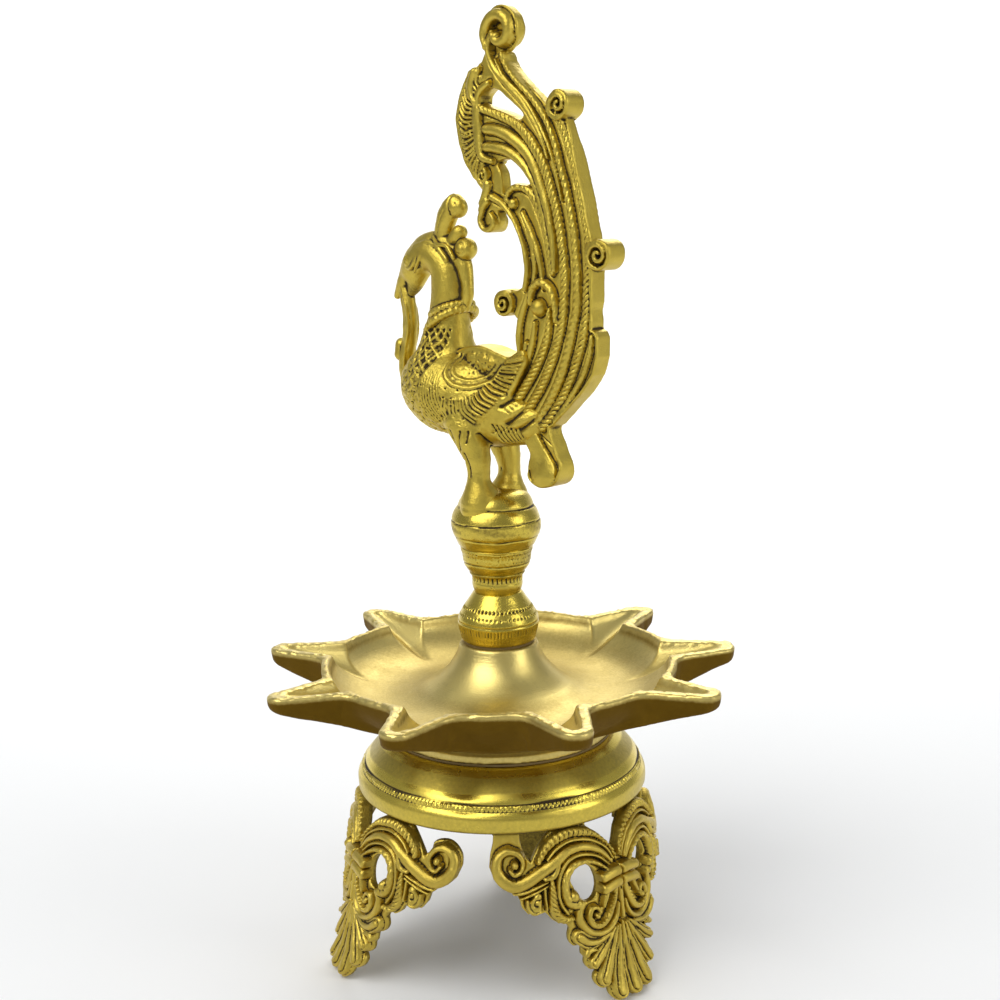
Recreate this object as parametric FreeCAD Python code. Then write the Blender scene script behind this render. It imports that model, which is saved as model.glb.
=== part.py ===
import FreeCAD, Part
import math
import os

# Brass standing oil lamp (samai) with a peacock finial. Millimetres, +Z up.
# The origin is on the floor, on the lamp's axis. The front of the lamp faces -Y.
# Directions round the axis are bearings: 0 is the front, and positive bearings turn towards +X.

V = FreeCAD.Vector
UP = V(0, 0, 1)

# ---------------------------------------------------------------- driving dimensions
LEG_BEARINGS = {"leg_left": -65.0, "leg_right": 44.5, "leg_rear": 167.0}
TOE_SWINGS = {"leg_left": -8.4, "leg_right": 2.6, "leg_rear": 0.0}     # degrees each toe is bent sideways
SWING_TOP = 58.0               # the legs are straight above this height
LUG_SIDES = {"leg_left": (-1,), "leg_right": (-1, 1), "leg_rear": (-1, 1)}   # volutes that reach the rim
LEG_HEIGHT = 64.3              # floor to the underside of the dome's rim
LEG_THICKNESS = 5.0
LEG_ARC_R = 57.3               # a millimetre of arc is one degree at this radius
LUG_WIDTH = 7.0                # of the lug that carries each scroll up to the rim
LEG_FACE = [(64.5, 0.0), (62.3, 4.0), (60.0, 10.0), (58.2, 20.0), (57.4, 32.0),
            (56.6, 45.0), (55.0, 55.0), (52.3, LEG_HEIGHT)]          # (r, z) of the outer face
TAB_BEARING = 18.0             # each leg has two tabs inside the rim, this far from its middle
TAB_WIDTH = 7.0
TAB_TOP = 71.5
TAB_INNER_R = 45.0
SCREW_Z = 68.0
SCREW_R = 1.5
SCREW_HEAD_R = 2.6
SCREW_HEAD = 2.0
SCREW_TIP_R = 50.0             # how far out from the lamp's axis the screws reach

RIM_R = 52.0
RIM_INNER_R = 47.6
SEAT_Z = 83.7                  # top of the dome, where the bowl stands
SEAT_R = 41.0
PLATE = 3.0                    # thickness of the dome's top

WASHER = 0.8                   # leather joint washers
FOOT_RING_R = 40.0
FOOT_RING_INNER_R = 36.5
BOWL_FOOT_Z = SEAT_Z + WASHER
BOWL_HUB_R = 9.5
RIM_Z = 110.3                  # top of the bowl's rim and of its spouts
BOWL_RIM_R = 64.0
BOWL_LIP = 3.2
CONE_TOP_Z = 116.6
CONE_TOP_R = 13.8

SPOUTS = 9
FIRST_SPOUT = 16.7             # bearing of the first spout to the right of the front
SPOUT_TIP_R = 81.3             # centre of the rounded tip
SPOUT_TIP_ROUND = 6.0
SPOUT_ROOT_R = 48.0             # where the spouts start, under the bowl
SPOUT_ROOT_HALF = 15.2
CHANNEL_IN = (40.0, 98.4)      # (r, z) of the channel's floor at the trough
CHANNEL_OUT = (82.8, 104.6)    # and at the tip
CHANNEL_FLARE = 0.76           # half width of the channel for each millimetre of its depth

STUD_R = 4.0                   # M8 stud between the dome and the bowl
ROD_R = 3.0                    # M6 rod through the stem
RUNNING = 0.05                 # radial clearance in the two threads that unscrew
SCREW_TRAVEL = 12.0            # thread engagement of both
STUD_TOP_Z = BOWL_FOOT_Z + 1.0 + SCREW_TRAVEL
ROD_BOTTOM_Z = CONE_TOP_Z - SCREW_TRAVEL
STEM_Z = CONE_TOP_Z + WASHER
STEM_FOOT_TOP_Z = 135.1
COLLAR_TOP_Z = 142.5
VASE_TOP_Z = 151.6
PLINTH_TOP_Z = 172.5
ROD_TOP_Z = 164.0
STEM_BORE_R = 3.2

BIRD_BEARING = -45.0           # turn of the bird's plane about the lamp's axis
BIRD_SHIFT = -1.0              # its offset along X
TAIL_THICKNESS = 7.8
BIRD_LEG_GAP = 7.4             # half the distance between the two legs


# ---------------------------------------------------------------- helpers
def outline(place, *stretches):
    """A closed wire. A stretch is ("line" or "curve", points) and each one starts at the last one's end."""
    edges = []
    ends = []
    for kind, points in stretches:
        spots = [place(*point) for point in points]
        if kind == "curve":
            curve = Part.BSplineCurve()
            curve.interpolate(spots)
            edges.append(curve.toShape())
        else:
            edges += [Part.LineSegment(a, b).toShape() for a, b in zip(spots, spots[1:])]
        ends += [spots[0], spots[-1]]
    if ends[0].distanceToPoint(ends[-1]) > 1e-6:
        edges.append(Part.LineSegment(ends[-1], ends[0]).toShape())
    return Part.Wire(edges)


def section(r, z):
    """Place a profile point (radius, height) in the XZ plane."""
    return V(r, 0, z)


def turned(*stretches):
    """A solid of revolution about the lamp's axis from its (r, z) outline."""
    return Part.Face(outline(section, *stretches)).revolve(V(0, 0, 0), UP, 360)


def rod(radius, z_low, z_high):
    return Part.makeCylinder(radius, z_high - z_low, V(0, 0, z_low))


def ring(inner, outer, z_low, z_high):
    return rod(outer, z_low, z_high).cut(rod(inner, z_low - 1, z_high + 1))


def hex_nut(across_flats, bore, z_low, z_high):
    corner = across_flats / math.sqrt(3)
    corners = [V(corner * math.cos(math.radians(60 * i)), corner * math.sin(math.radians(60 * i)), z_low)
               for i in range(6)]
    prism = Part.Face(Part.makePolygon(corners + corners[:1])).extrude(V(0, 0, z_high - z_low))
    return prism.cut(rod(bore, z_low - 1, z_high + 1))


def at_bearing(shape, bearing):
    """Turn a shape that faces the front to the given bearing."""
    turned_shape = shape.copy()
    turned_shape.rotate(V(0, 0, 0), UP, bearing)
    return turned_shape


def one_solid(shape):
    """The single solid of a finished boolean."""
    solids = shape.removeSplitter().Solids
    if len(solids) != 1:
        raise RuntimeError("expected one solid, got %d" % len(solids))
    return solids[0]


def export(name, shape):
    shape.exportStep("parts/%s.step" % name)
    print(name, len(shape.Solids), shape.isValid(), round(shape.Volume / 1000.0, 2), "cm3")


# ---------------------------------------------------------------- legs
def front_plane(arc, z):
    """Place a point of the leg's face, unrolled as (arc, height), on the plane in front of the lamp."""
    return V(LEG_ARC_R * math.sin(math.radians(arc)), -80, z)


def swung(arc, z, swing):
    """Where a point of the leg's face ends up when the toe is bent sideways by swing degrees."""
    return arc + swing * max(0.0, 1.0 - z / SWING_TOP)


def leg_lobe(arc, z, radius):
    """A round lobe of the leg: a cylinder that runs straight out from the lamp's axis."""
    direction = V(math.sin(math.radians(arc)), -math.cos(math.radians(arc)), 0)
    return Part.makeCylinder(radius, 80, V(0, 0, z), direction)


def leg_prism(swing, lug_sides):
    """The leg's outline with its lobes and its two see-through eyes."""
    half = [(7, 1.5), (14, 9), (16.5, 18), (22.5, 28), (24, 33), (30, 36), (36.5, 41), (38.5, 48), (37, 53),
            (33, 56), (27, 62.5), (22, LEG_HEIGHT), (14, LEG_HEIGHT), (9, 61), (4.5, 56)]
    left = [(-arc, z) for arc, z in reversed(half)]
    edge = [(swung(arc, z, swing), z) for arc, z in [(0, 0)] + half + [(0, 49.5)] + left]
    plate = Part.Face(outline(front_plane, ("line", edge + [edge[0]]))).extrude(V(0, 80, 0))
    lobes = [leg_lobe(swung(0, 4.5, swing), 4.5, 5)]
    eyes = []
    for side in (-1, 1):
        for arc, z, radius in [(6.5, 4.2, 4.6), (11.5, 9.5, 4), (14.5, 16.5, 3.5), (19.5, 26.5, 4.5),
                               (29.5, 37.5, 4), (35.5, 42, 4.5), (39, 50.5, 3.8), (43.5, 55.5, 7.3)]:
            lobes.append(leg_lobe(swung(side * arc, z, swing), z, radius))
        eyes.append(leg_lobe(swung(side * 15, 43, swing), 43, 5.2))
    for side in lug_sides:
        lug = Part.makeBox(LUG_WIDTH, 70, LEG_HEIGHT - 57, V(-LUG_WIDTH / 2, -70, 57))
        lobes.append(at_bearing(lug, side * 43.5))
    prism = plate.multiFuse(lobes)
    for eye in eyes:
        prism = prism.cut(eye)
    return prism


def leg_shell():
    """The curved wall that the openwork is cut from: it flares at the toe and follows the rim above."""
    inner = [(r - LEG_THICKNESS, z) for r, z in reversed(LEG_FACE)]
    return turned(("curve", LEG_FACE), ("line", [LEG_FACE[-1], inner[0]]), ("curve", inner))


def leg_tab(bearing):
    """A tab that stands up inside the rim and takes one screw."""
    low = ring(TAB_INNER_R, 50.0, 58.0, LEG_HEIGHT)
    high = ring(TAB_INNER_R, RIM_INNER_R, LEG_HEIGHT, TAB_TOP)
    slice_box = Part.makeBox(TAB_WIDTH, 60, 30, V(-TAB_WIDTH / 2, -60, 50))
    return low.fuse(high).common(at_bearing(slice_box, bearing))


def leg_screw(bearing, clearance=0.0):
    """A cheese-head screw, put in from inside through the tab into the rim."""
    shank = Part.makeCylinder(SCREW_R + clearance, SCREW_TIP_R - TAB_INNER_R, V(0, -TAB_INNER_R, SCREW_Z),
                              V(0, -1, 0))
    head = Part.makeCylinder(SCREW_HEAD_R, SCREW_HEAD, V(0, -TAB_INNER_R, SCREW_Z), V(0, 1, 0))
    slot = Part.makeBox(2 * SCREW_HEAD_R, 0.8, 0.8, V(-SCREW_HEAD_R, -TAB_INNER_R + SCREW_HEAD - 0.8,
                                                      SCREW_Z - 0.4))
    return at_bearing(shank.fuse(head).cut(slot), bearing)


def screw_bearings():
    return [leg + side * TAB_BEARING for leg in LEG_BEARINGS.values() for side in (-1, 1)]


def make_leg(name):
    leg = leg_shell().common(leg_prism(TOE_SWINGS[name], LUG_SIDES[name]))
    for side in (-1, 1):
        leg = leg.fuse(leg_tab(side * TAB_BEARING))
    for side in (-1, 1):
        leg = leg.cut(leg_screw(side * TAB_BEARING, 0.05))
    return one_solid(leg)


# ---------------------------------------------------------------- base dome
def make_dome():
    outer = [(RIM_R, 70.6), (50.7, 71.7), (50.4, 73.8), (49.6, 74.4), (47.6, 77.0), (44.5, 80.2),
             (42.0, 82.6), (SEAT_R, SEAT_Z)]
    inner = [(RIM_INNER_R, 72.6), (44.6, 76.4), (41.4, 79.4), (39.6, SEAT_Z - PLATE)]
    dome = turned(
        ("line", [(RIM_R - 0.6, LEG_HEIGHT), (RIM_R, LEG_HEIGHT + 0.6), outer[0], outer[1], outer[2], outer[3]]),
        ("curve", outer[3:]),
        ("line", [outer[-1], (STUD_R, SEAT_Z), (STUD_R, SEAT_Z - PLATE), inner[-1]]),
        ("curve", list(reversed(inner))),
        ("line", [inner[0], (RIM_INNER_R, LEG_HEIGHT), (RIM_R - 0.6, LEG_HEIGHT)]))
    for bearing in screw_bearings():
        dome = dome.cut(leg_screw(bearing, 0.05))
    return one_solid(dome)


def make_stud():
    collar = rod(7.0, SEAT_Z, BOWL_FOOT_Z + 0.6)
    return one_solid(rod(STUD_R, 71.0, STUD_TOP_Z).fuse(collar))


# ---------------------------------------------------------------- bowl
def spout_prism():
    """The plan of the spout at the front, as a prism."""
    low, high = BOWL_FOOT_Z, RIM_Z
    tip = Part.makeCylinder(SPOUT_TIP_ROUND, high - low, V(0, -SPOUT_TIP_R, low))
    flank = [V(-SPOUT_ROOT_HALF, -SPOUT_ROOT_R, low), V(SPOUT_ROOT_HALF, -SPOUT_ROOT_R, low),
             V(SPOUT_TIP_ROUND - 0.3, -SPOUT_TIP_R - 1.6, low), V(0.3 - SPOUT_TIP_ROUND, -SPOUT_TIP_R - 1.6, low)]
    wedge = Part.Face(Part.makePolygon(flank + flank[:1])).extrude(V(0, 0, high - low))
    return wedge.fuse(tip)


def spout_bearings():
    return [FIRST_SPOUT + 360.0 / SPOUTS * i for i in range(SPOUTS)]


def spout_channel():
    """The V-shaped channel of a spout at the front, from the trough out to the tip."""
    ends = []
    for r, z in (CHANNEL_IN, CHANNEL_OUT):
        rise = CONE_TOP_Z - z
        half = CHANNEL_FLARE * rise
        ends.append(Part.makePolygon([V(0, -r, z), V(half, -r, z + rise), V(-half, -r, z + rise), V(0, -r, z)]))
    return Part.makeLoft(ends, True, True)


def make_bowl():
    underside = [(FOOT_RING_R, BOWL_FOOT_Z + 0.5), (41.5, 88.0), (44.0, 91.2), (49.0, 94.0), (55.0, 97.0),
                 (60.0, 100.8), (62.9, 104.4), (BOWL_RIM_R, 107.4)]
    disc = turned(
        ("line", [(0, BOWL_FOOT_Z), (FOOT_RING_R, BOWL_FOOT_Z), underside[0]]),
        ("curve", underside),
        ("line", [underside[-1], (BOWL_RIM_R, RIM_Z), (0, RIM_Z), (0, BOWL_FOOT_Z)]))
    keel = [(46.0, 92.0), (54.0, 95.2), (66.0, 98.2), (80.0, 102.4), (89.5, 105.6)]
    spout = spout_prism().common(turned(
        ("curve", keel),
        ("line", [keel[-1], (89.5, RIM_Z), (46.0, RIM_Z), keel[0]])))
    lip_r = BOWL_RIM_R - BOWL_LIP
    wall = [(lip_r, RIM_Z + 0.5), (lip_r - 0.6, 108.0), (57.0, 103.0), (50.0, 99.4), (40.0, 97.6), (32.0, 98.6),
            (25.0, 101.6), (19.0, 106.8), (15.4, 112.0), (CONE_TOP_R, CONE_TOP_Z)]
    above = CONE_TOP_Z + 1.0
    trough = turned(
        ("curve", wall),
        ("line", [wall[-1], (CONE_TOP_R, above), (lip_r, above), wall[0]]))
    hollow_wall = [(FOOT_RING_INNER_R, 90.5), (35.5, 93.8), (27.0, 96.4), (19.5, 101.0), (16.4, 104.0)]
    hollow = turned(
        ("line", [(BOWL_HUB_R, BOWL_FOOT_Z - 1), (FOOT_RING_INNER_R, BOWL_FOOT_Z - 1), hollow_wall[0]]),
        ("curve", hollow_wall),
        ("line", [hollow_wall[-1], (BOWL_HUB_R, 104.0), (BOWL_HUB_R, BOWL_FOOT_Z - 1)]))
    bowl = disc.multiFuse([at_bearing(spout, bearing) for bearing in spout_bearings()])
    bowl = bowl.fuse(rod(30.0, BOWL_FOOT_Z, CONE_TOP_Z)).cut(trough)
    for bearing in spout_bearings():
        bowl = bowl.cut(at_bearing(spout_channel(), bearing))
    bowl = bowl.cut(hollow)
    bowl = bowl.cut(rod(BOWL_HUB_R + 0.1, BOWL_FOOT_Z - 1, BOWL_FOOT_Z + 1.0))
    bowl = bowl.cut(rod(STUD_R + RUNNING, BOWL_FOOT_Z - 1, STUD_TOP_Z + 0.6))
    bowl = bowl.cut(rod(ROD_R + RUNNING, ROD_BOTTOM_Z - 0.6, CONE_TOP_Z + 1))
    return one_solid(bowl)


# ---------------------------------------------------------------- stem
def make_stem_foot():
    side = [(13.0, 118.6), (14.2, 123.4), (14.3, 125.4), (13.4, 128.0), (11.0, 131.4), (9.6, 133.6),
            (8.4, STEM_FOOT_TOP_Z)]
    foot = turned(
        ("line", [(12.6, STEM_Z), side[0]]),
        ("curve", side),
        ("line", [side[-1], (STEM_BORE_R, STEM_FOOT_TOP_Z), (STEM_BORE_R, 123.4), (6.4, 123.4), (6.4, STEM_Z),
                  (12.6, STEM_Z)]))
    return one_solid(foot)


def make_stem_collar():
    side = [(8.2, 135.9), (8.9, 137.7), (9.0, 139.4), (8.7, 140.7)]
    collar = turned(
        ("line", [(STEM_BORE_R, STEM_FOOT_TOP_Z), (8.2, STEM_FOOT_TOP_Z), side[0]]),
        ("curve", side),
        ("line", [side[-1], (9.6, 141.4), (10.0, COLLAR_TOP_Z), (STEM_BORE_R, COLLAR_TOP_Z),
                  (STEM_BORE_R, STEM_FOOT_TOP_Z)]))
    return one_solid(collar)


def make_stem_vase():
    side = [(10.2, COLLAR_TOP_Z), (11.5, 144.6), (11.9, 147.6), (12.3, 149.6), (13.2, VASE_TOP_Z)]
    vase = turned(
        ("curve", side),
        ("line", [side[-1], (STEM_BORE_R, VASE_TOP_Z), (STEM_BORE_R, COLLAR_TOP_Z), side[0]]))
    return one_solid(vase)


def make_stem_plinth():
    top = [(13.2, 166.6), (12.2, 169.4), (8.6, 171.8), (0, PLINTH_TOP_Z)]
    plinth = turned(
        ("line", [(0, ROD_TOP_Z), (ROD_R, ROD_TOP_Z), (ROD_R, VASE_TOP_Z), (13.4, VASE_TOP_Z), (14.7, 155.0),
                  (15.6, 156.4), (15.8, 161.0), (14.6, 162.6), (13.6, 165.6), top[0]]),
        ("curve", top),
        ("line", [top[-1], (0, ROD_TOP_Z)]))
    return plinth


# ---------------------------------------------------------------- peacock
# The bird is drawn in its own plane: u runs from the head to the tail, v is the height above the floor.
def bird_plane(u, v, w=0.0):
    return V(u, -w, v)


def set_on_lamp(shape):
    placed = shape.copy()
    placed.rotate(V(0, 0, 0), UP, BIRD_BEARING)
    placed.translate(V(BIRD_SHIFT, 0, 0))
    return placed


def bird_slab(stretches, thickness, w=0.0):
    """A flat piece in the bird's plane."""
    face = Part.Face(outline(lambda u, v: bird_plane(u, v, w - thickness / 2), *stretches))
    return face.extrude(V(0, -thickness, 0))


def bird_roll(u, v, radius, width):
    """A rolled end: a short cylinder across the bird's plane."""
    return Part.makeCylinder(radius, width, bird_plane(u, v, -width / 2), V(0, -1, 0))


def capsule(a, b, r_a, r_b):
    """A round bar with ball ends between two points, tapered if its two radii differ."""
    start, end = bird_plane(*a), bird_plane(*b)
    direction = end - start
    if r_a == r_b:
        bar = Part.makeCylinder(r_a, direction.Length, start, direction)
    else:
        bar = Part.makeCone(r_a, r_b, direction.Length, start, direction)
    return bar.fuse(Part.makeSphere(r_a, start)).fuse(Part.makeSphere(r_b, end))


def bird_torso():
    """An egg, its axis running from the breast down to the root of the tail."""
    nose, tail = V(-41.0, 0, 210.0), V(17.0, 0, 199.0)
    length = (tail - nose).Length
    profile = [(0.0, 0.0), (3.0, 7.0), (9.0, 12.2), (19.0, 15.6), (29.0, 15.2), (40.0, 12.0), (50.0, 8.0),
               (56.0, 4.4), (length, 0.0)]
    wire = outline(lambda along, r: V(along, 0, r), ("curve", profile))
    egg = Part.Face(wire).revolve(V(0, 0, 0), V(1, 0, 0), 360)
    egg.rotate(V(0, 0, 0), V(0, 1, 0), math.degrees(math.atan2(nose.z - tail.z, tail.x - nose.x)))
    egg.translate(nose)
    return egg


def bird_neck():
    """The swan neck, lofted through round sections from the breast up and over to the head."""
    spine = [(-21.0, 216.0, 10.5), (-20.0, 225.0, 8.8), (-17.5, 234.0, 7.6), (-15.2, 242.0, 6.9),
             (-17.4, 249.2, 6.5), (-24.0, 253.6, 6.4), (-31.5, 253.0, 6.2), (-36.5, 248.5, 5.0)]
    wires = []
    for i, (u, v, radius) in enumerate(spine):
        before, after = spine[max(i - 1, 0)], spine[min(i + 1, len(spine) - 1)]
        direction = V(after[0] - before[0], 0, after[1] - before[1])
        wires.append(Part.Wire([Part.Circle(bird_plane(u, v), direction, radius).toShape()]))
    return Part.makeLoft(wires, True, False)


def bird_head():
    head = Part.makeSphere(6.6, bird_plane(-33.5, 252.0))
    beak = capsule((-36.0, 249.0), (-46.6, 238.8), 5.0, 1.4)
    return head.fuse(beak)


def bird_crest():
    plume = capsule((-20.5, 259.0), (-14.0, 270.0), 3.6, 3.8)
    knob = capsule((-16.0, 258.0), (-12.0, 262.0), 2.8, 2.8)
    ball = Part.makeSphere(4.0, bird_plane(-10.0, 255.6))
    return plume.fuse(knob).fuse(ball)


def bird_garland():
    """The strap that hangs from the beak to the breast."""
    route = [(-43.0, 243.0), (-40.5, 236.5), (-39.5, 230.0), (-40.5, 222.0), (-42.5, 215.0), (-42.0, 207.0)]
    strap = capsule(route[0], route[1], 2.6, 2.6)
    for a, b in zip(route[1:], route[2:]):
        strap = strap.fuse(capsule(a, b, 2.6, 2.6))
    return strap


def bird_leg(side):
    """A leg with its foot let into the plinth."""
    w = side * BIRD_LEG_GAP
    shin = Part.makeCone(3.8, 4.9, 14.0, bird_plane(1.0, 178.0, w))
    foot = Part.makeCone(4.6, 3.8, 8.0, bird_plane(1.0, 170.0, w))
    return shin.fuse(foot)


def make_tail():
    """The openwork tail: a flat casting with rolled ends and two long eyes."""
    back_edge = [(28.0, 196.0), (39.0, 203.5), (45.5, 209.5), (50.5, 215.5), (52.5, 221.5), (52.5, 228.5)]
    rear = [(49.6, 229.5), (50.2, 243.0), (50.6, 251.0), (49.5, 260.5), (46.0, 275.0), (42.5, 287.0),
            (38.5, 297.0)]
    stalk = [(35.0, 299.5), (24.5, 306.5), (16.5, 313.0), (12.5, 319.0)]
    leaf = [(2.0, 318.5), (-4.5, 314.5), (-9.0, 306.5), (-11.0, 299.5), (-9.5, 291.0), (-7.5, 285.5),
            (-3.0, 279.5), (0.5, 274.5)]
    front = [(7.5, 268.0), (10.8, 269.4), (15.0, 265.5), (19.8, 257.0), (21.0, 249.0), (19.0, 240.0),
             (16.4, 231.0), (15.8, 222.0), (10.0, 215.0)]
    root = [(2.0, 212.0), (-2.0, 205.0), (2.0, 197.0), (12.0, 191.0), (20.0, 190.0)]
    plate = bird_slab([("curve", back_edge), ("line", [back_edge[-1], rear[0]]), ("curve", rear),
                       ("line", [rear[-1], stalk[0]]), ("curve", stalk), ("line", [stalk[-1], leaf[0]]),
                       ("curve", leaf), ("line", [leaf[-1], (0.0, 268.0), front[0]]), ("curve", front),
                       ("line", [front[-1], root[0]]), ("curve", root)], TAIL_THICKNESS)
    rolls = [bird_roll(u, v, radius, TAIL_THICKNESS + 2 * proud) for u, v, radius, proud in
             [(10.2, 326.8, 7.8, 0.4), (37.2, 301.6, 4.6, 0.6), (53.5, 254.2, 5.0, 0.6), (3.6, 265.6, 4.6, 0.0),
              (10.8, 237.6, 4.4, 0.6)]]
    crown_link = bird_slab([("line", [(2.2, 317.0), (13.2, 317.0), (15.0, 325.0), (3.0, 325.0), (2.2, 317.0)])],
                           TAIL_THICKNESS)
    scroll_link = bird_slab([("line", [(11.0, 233.8), (18.0, 234.0), (20.5, 242.0), (11.0, 242.0),
                                       (11.0, 233.8)])], TAIL_THICKNESS)
    lobe = capsule((22.0, 192.0), (29.5, 181.5), 5.2, 6.0)
    upper_eye = bird_slab([("curve", [(6.5, 308.5), (0.8, 305.6), (7.5, 301.5), (18.5, 297.6), (20.0, 299.0),
                                      (14.0, 304.5), (6.5, 308.5)])], 3 * TAIL_THICKNESS)
    lower_eye = bird_slab([("curve", [(7.4, 284.3), (15.0, 284.4), (23.6, 277.6), (15.5, 277.0),
                                      (10.6, 273.4), (9.4, 279.0), (7.4, 284.3)])], 3 * TAIL_THICKNESS)
    tail = plate.multiFuse(rolls + [crown_link, scroll_link, lobe])
    return tail.cut(upper_eye).cut(lower_eye)


def make_peacock(tail):
    body = bird_torso().multiFuse([bird_neck(), bird_head(), bird_crest(), bird_garland(), bird_leg(1),
                                   bird_leg(-1)])
    return body.cut(tail)


# ---------------------------------------------------------------- the lamp
def main():
    os.makedirs("parts", exist_ok=True)
    for name, bearing in LEG_BEARINGS.items():
        export(name, at_bearing(make_leg(name), bearing))
    export("leg_screws", Part.makeCompound([leg_screw(bearing) for bearing in screw_bearings()]))
    export("base_dome", make_dome())
    export("bowl_stud", make_stud())
    export("stud_washer", ring(STUD_R, 9.0, SEAT_Z - PLATE - 1.6, SEAT_Z - PLATE))
    export("stud_nut", hex_nut(13.0, STUD_R, SEAT_Z - PLATE - 8.0, SEAT_Z - PLATE - 1.6))
    export("bowl_washer", ring(FOOT_RING_INNER_R, FOOT_RING_R, SEAT_Z, BOWL_FOOT_Z))
    export("oil_bowl", make_bowl())
    export("stem_washer", ring(6.6, 12.4, CONE_TOP_Z, STEM_Z))
    export("stem_foot", make_stem_foot())
    export("stem_collar", make_stem_collar())
    export("stem_vase", make_stem_vase())
    export("tie_rod", rod(ROD_R, ROD_BOTTOM_Z, ROD_TOP_Z))
    export("rod_nut", hex_nut(10.0, ROD_R, 118.2, 123.4))
    tail = one_solid(make_tail())
    body = one_solid(make_peacock(tail))
    export("peacock_tail", set_on_lamp(tail))
    export("peacock_body", set_on_lamp(body))
    export("stem_plinth", one_solid(make_stem_plinth().cut(set_on_lamp(body))))


main()
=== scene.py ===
import math
import bpy
import numpy as np
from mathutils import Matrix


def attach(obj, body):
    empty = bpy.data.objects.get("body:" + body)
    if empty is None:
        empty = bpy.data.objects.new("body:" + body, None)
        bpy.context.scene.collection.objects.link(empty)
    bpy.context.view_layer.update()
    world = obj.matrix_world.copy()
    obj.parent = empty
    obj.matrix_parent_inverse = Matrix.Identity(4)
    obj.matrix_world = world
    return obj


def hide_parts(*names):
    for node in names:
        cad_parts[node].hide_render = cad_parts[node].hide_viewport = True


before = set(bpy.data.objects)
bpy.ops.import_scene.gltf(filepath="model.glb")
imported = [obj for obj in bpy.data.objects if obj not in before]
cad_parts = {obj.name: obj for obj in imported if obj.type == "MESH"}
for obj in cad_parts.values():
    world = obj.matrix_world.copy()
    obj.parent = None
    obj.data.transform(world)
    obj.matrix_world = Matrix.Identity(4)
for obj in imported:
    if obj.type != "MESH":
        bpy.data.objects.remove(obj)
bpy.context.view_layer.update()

import openvdb as vdb
from mathutils import Matrix, Vector

# Brass standing oil lamp (samai) with a peacock finial. All shapes are worked out in millimetres and
# written in metres. +Z is up, the origin is on the floor on the lamp's axis and the front faces -Y.
MM = 0.001
rng = np.random.default_rng(11)


# ---------------------------------------------------------------- curves and flat reliefs
def curve(points, step=0.6, closed=False):
    """Closely spaced points of a centripetal Catmull-Rom curve through the given ones."""
    p = np.array(points, float)
    p = np.vstack([p[-1:], p, p[:2]]) if closed else np.vstack([2 * p[0] - p[1], p, 2 * p[-1] - p[-2]])
    axes = 2 if p.shape[1] == 2 else 3
    out = []
    for a, b, c, d in zip(p, p[1:], p[2:], p[3:]):
        spans = [max(np.linalg.norm((q - o)[:axes]), 1e-6) ** 0.5 for o, q in ((a, b), (b, c), (c, d))]
        knots = np.cumsum([0] + spans)
        count = max(2, int(np.linalg.norm((c - b)[:axes]) / step) + 1)
        t = np.linspace(knots[1], knots[2], count, endpoint=False)[:, None]
        k0, k1, k2, k3 = knots
        a1 = (k1 - t) / (k1 - k0) * a + (t - k0) / (k1 - k0) * b
        a2 = (k2 - t) / (k2 - k1) * b + (t - k1) / (k2 - k1) * c
        a3 = (k3 - t) / (k3 - k2) * c + (t - k2) / (k3 - k2) * d
        b1 = (k2 - t) / (k2 - k0) * a1 + (t - k0) / (k2 - k0) * a2
        b2 = (k3 - t) / (k3 - k1) * a2 + (t - k1) / (k3 - k1) * a3
        out.append((k2 - t) / (k2 - k1) * b1 + (t - k1) / (k2 - k1) * b2)
    out.append(p[1:2] if closed else p[-2:-1])
    return np.vstack(out)


def spiral(centre, start, end, angle, turns, count=24):
    """Points of a spiral from radius start to radius end; angle is where it starts, in degrees."""
    t = np.linspace(0, 1, count)
    r = start + (end - start) * t ** 0.8
    a = math.radians(angle) + 2 * math.pi * turns * t
    return [(centre[0] + q * math.cos(s), centre[1] + q * math.sin(s)) for q, s in zip(r, a)]


def rumple(shape, cell, amount):
    """Smooth random unevenness over an array; cell is the size of one lump in samples."""
    sizes = [int(n / cell) + 4 for n in shape]
    noise = rng.standard_normal(sizes)
    for axis, n in enumerate(shape):
        at = np.arange(n) / cell + 0.5
        low = at.astype(int)
        f = at - low
        f = f * f * (3 - 2 * f)
        f = f.reshape([-1 if k == axis else 1 for k in range(len(shape))])
        noise = np.take(noise, low, axis) * (1 - f) + np.take(noise, low + 1, axis) * f
    return amount * noise


def smooth_max(a, b, k):
    """The larger of two fields, with the edge where they meet rounded over a width k."""
    h = np.maximum(k - np.abs(a - b), 0) / k
    return np.maximum(a, b) + h * h * k * 0.25


def smooth_min(a, b, k):
    """The smaller of two fields, rounded in the same way."""
    return -smooth_max(-a, -b, k)


def ramp(x, low, high):
    """Rises smoothly from 0 at low to 1 at high; low may be the larger."""
    t = np.clip((x - low) / (high - low), 0, 1)
    return t * t * (3 - 2 * t)


# how far from an outline or a path a relief measures, and the value that stands for further away
AREA_REACH = 4.0
FAR = 50.0


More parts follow.
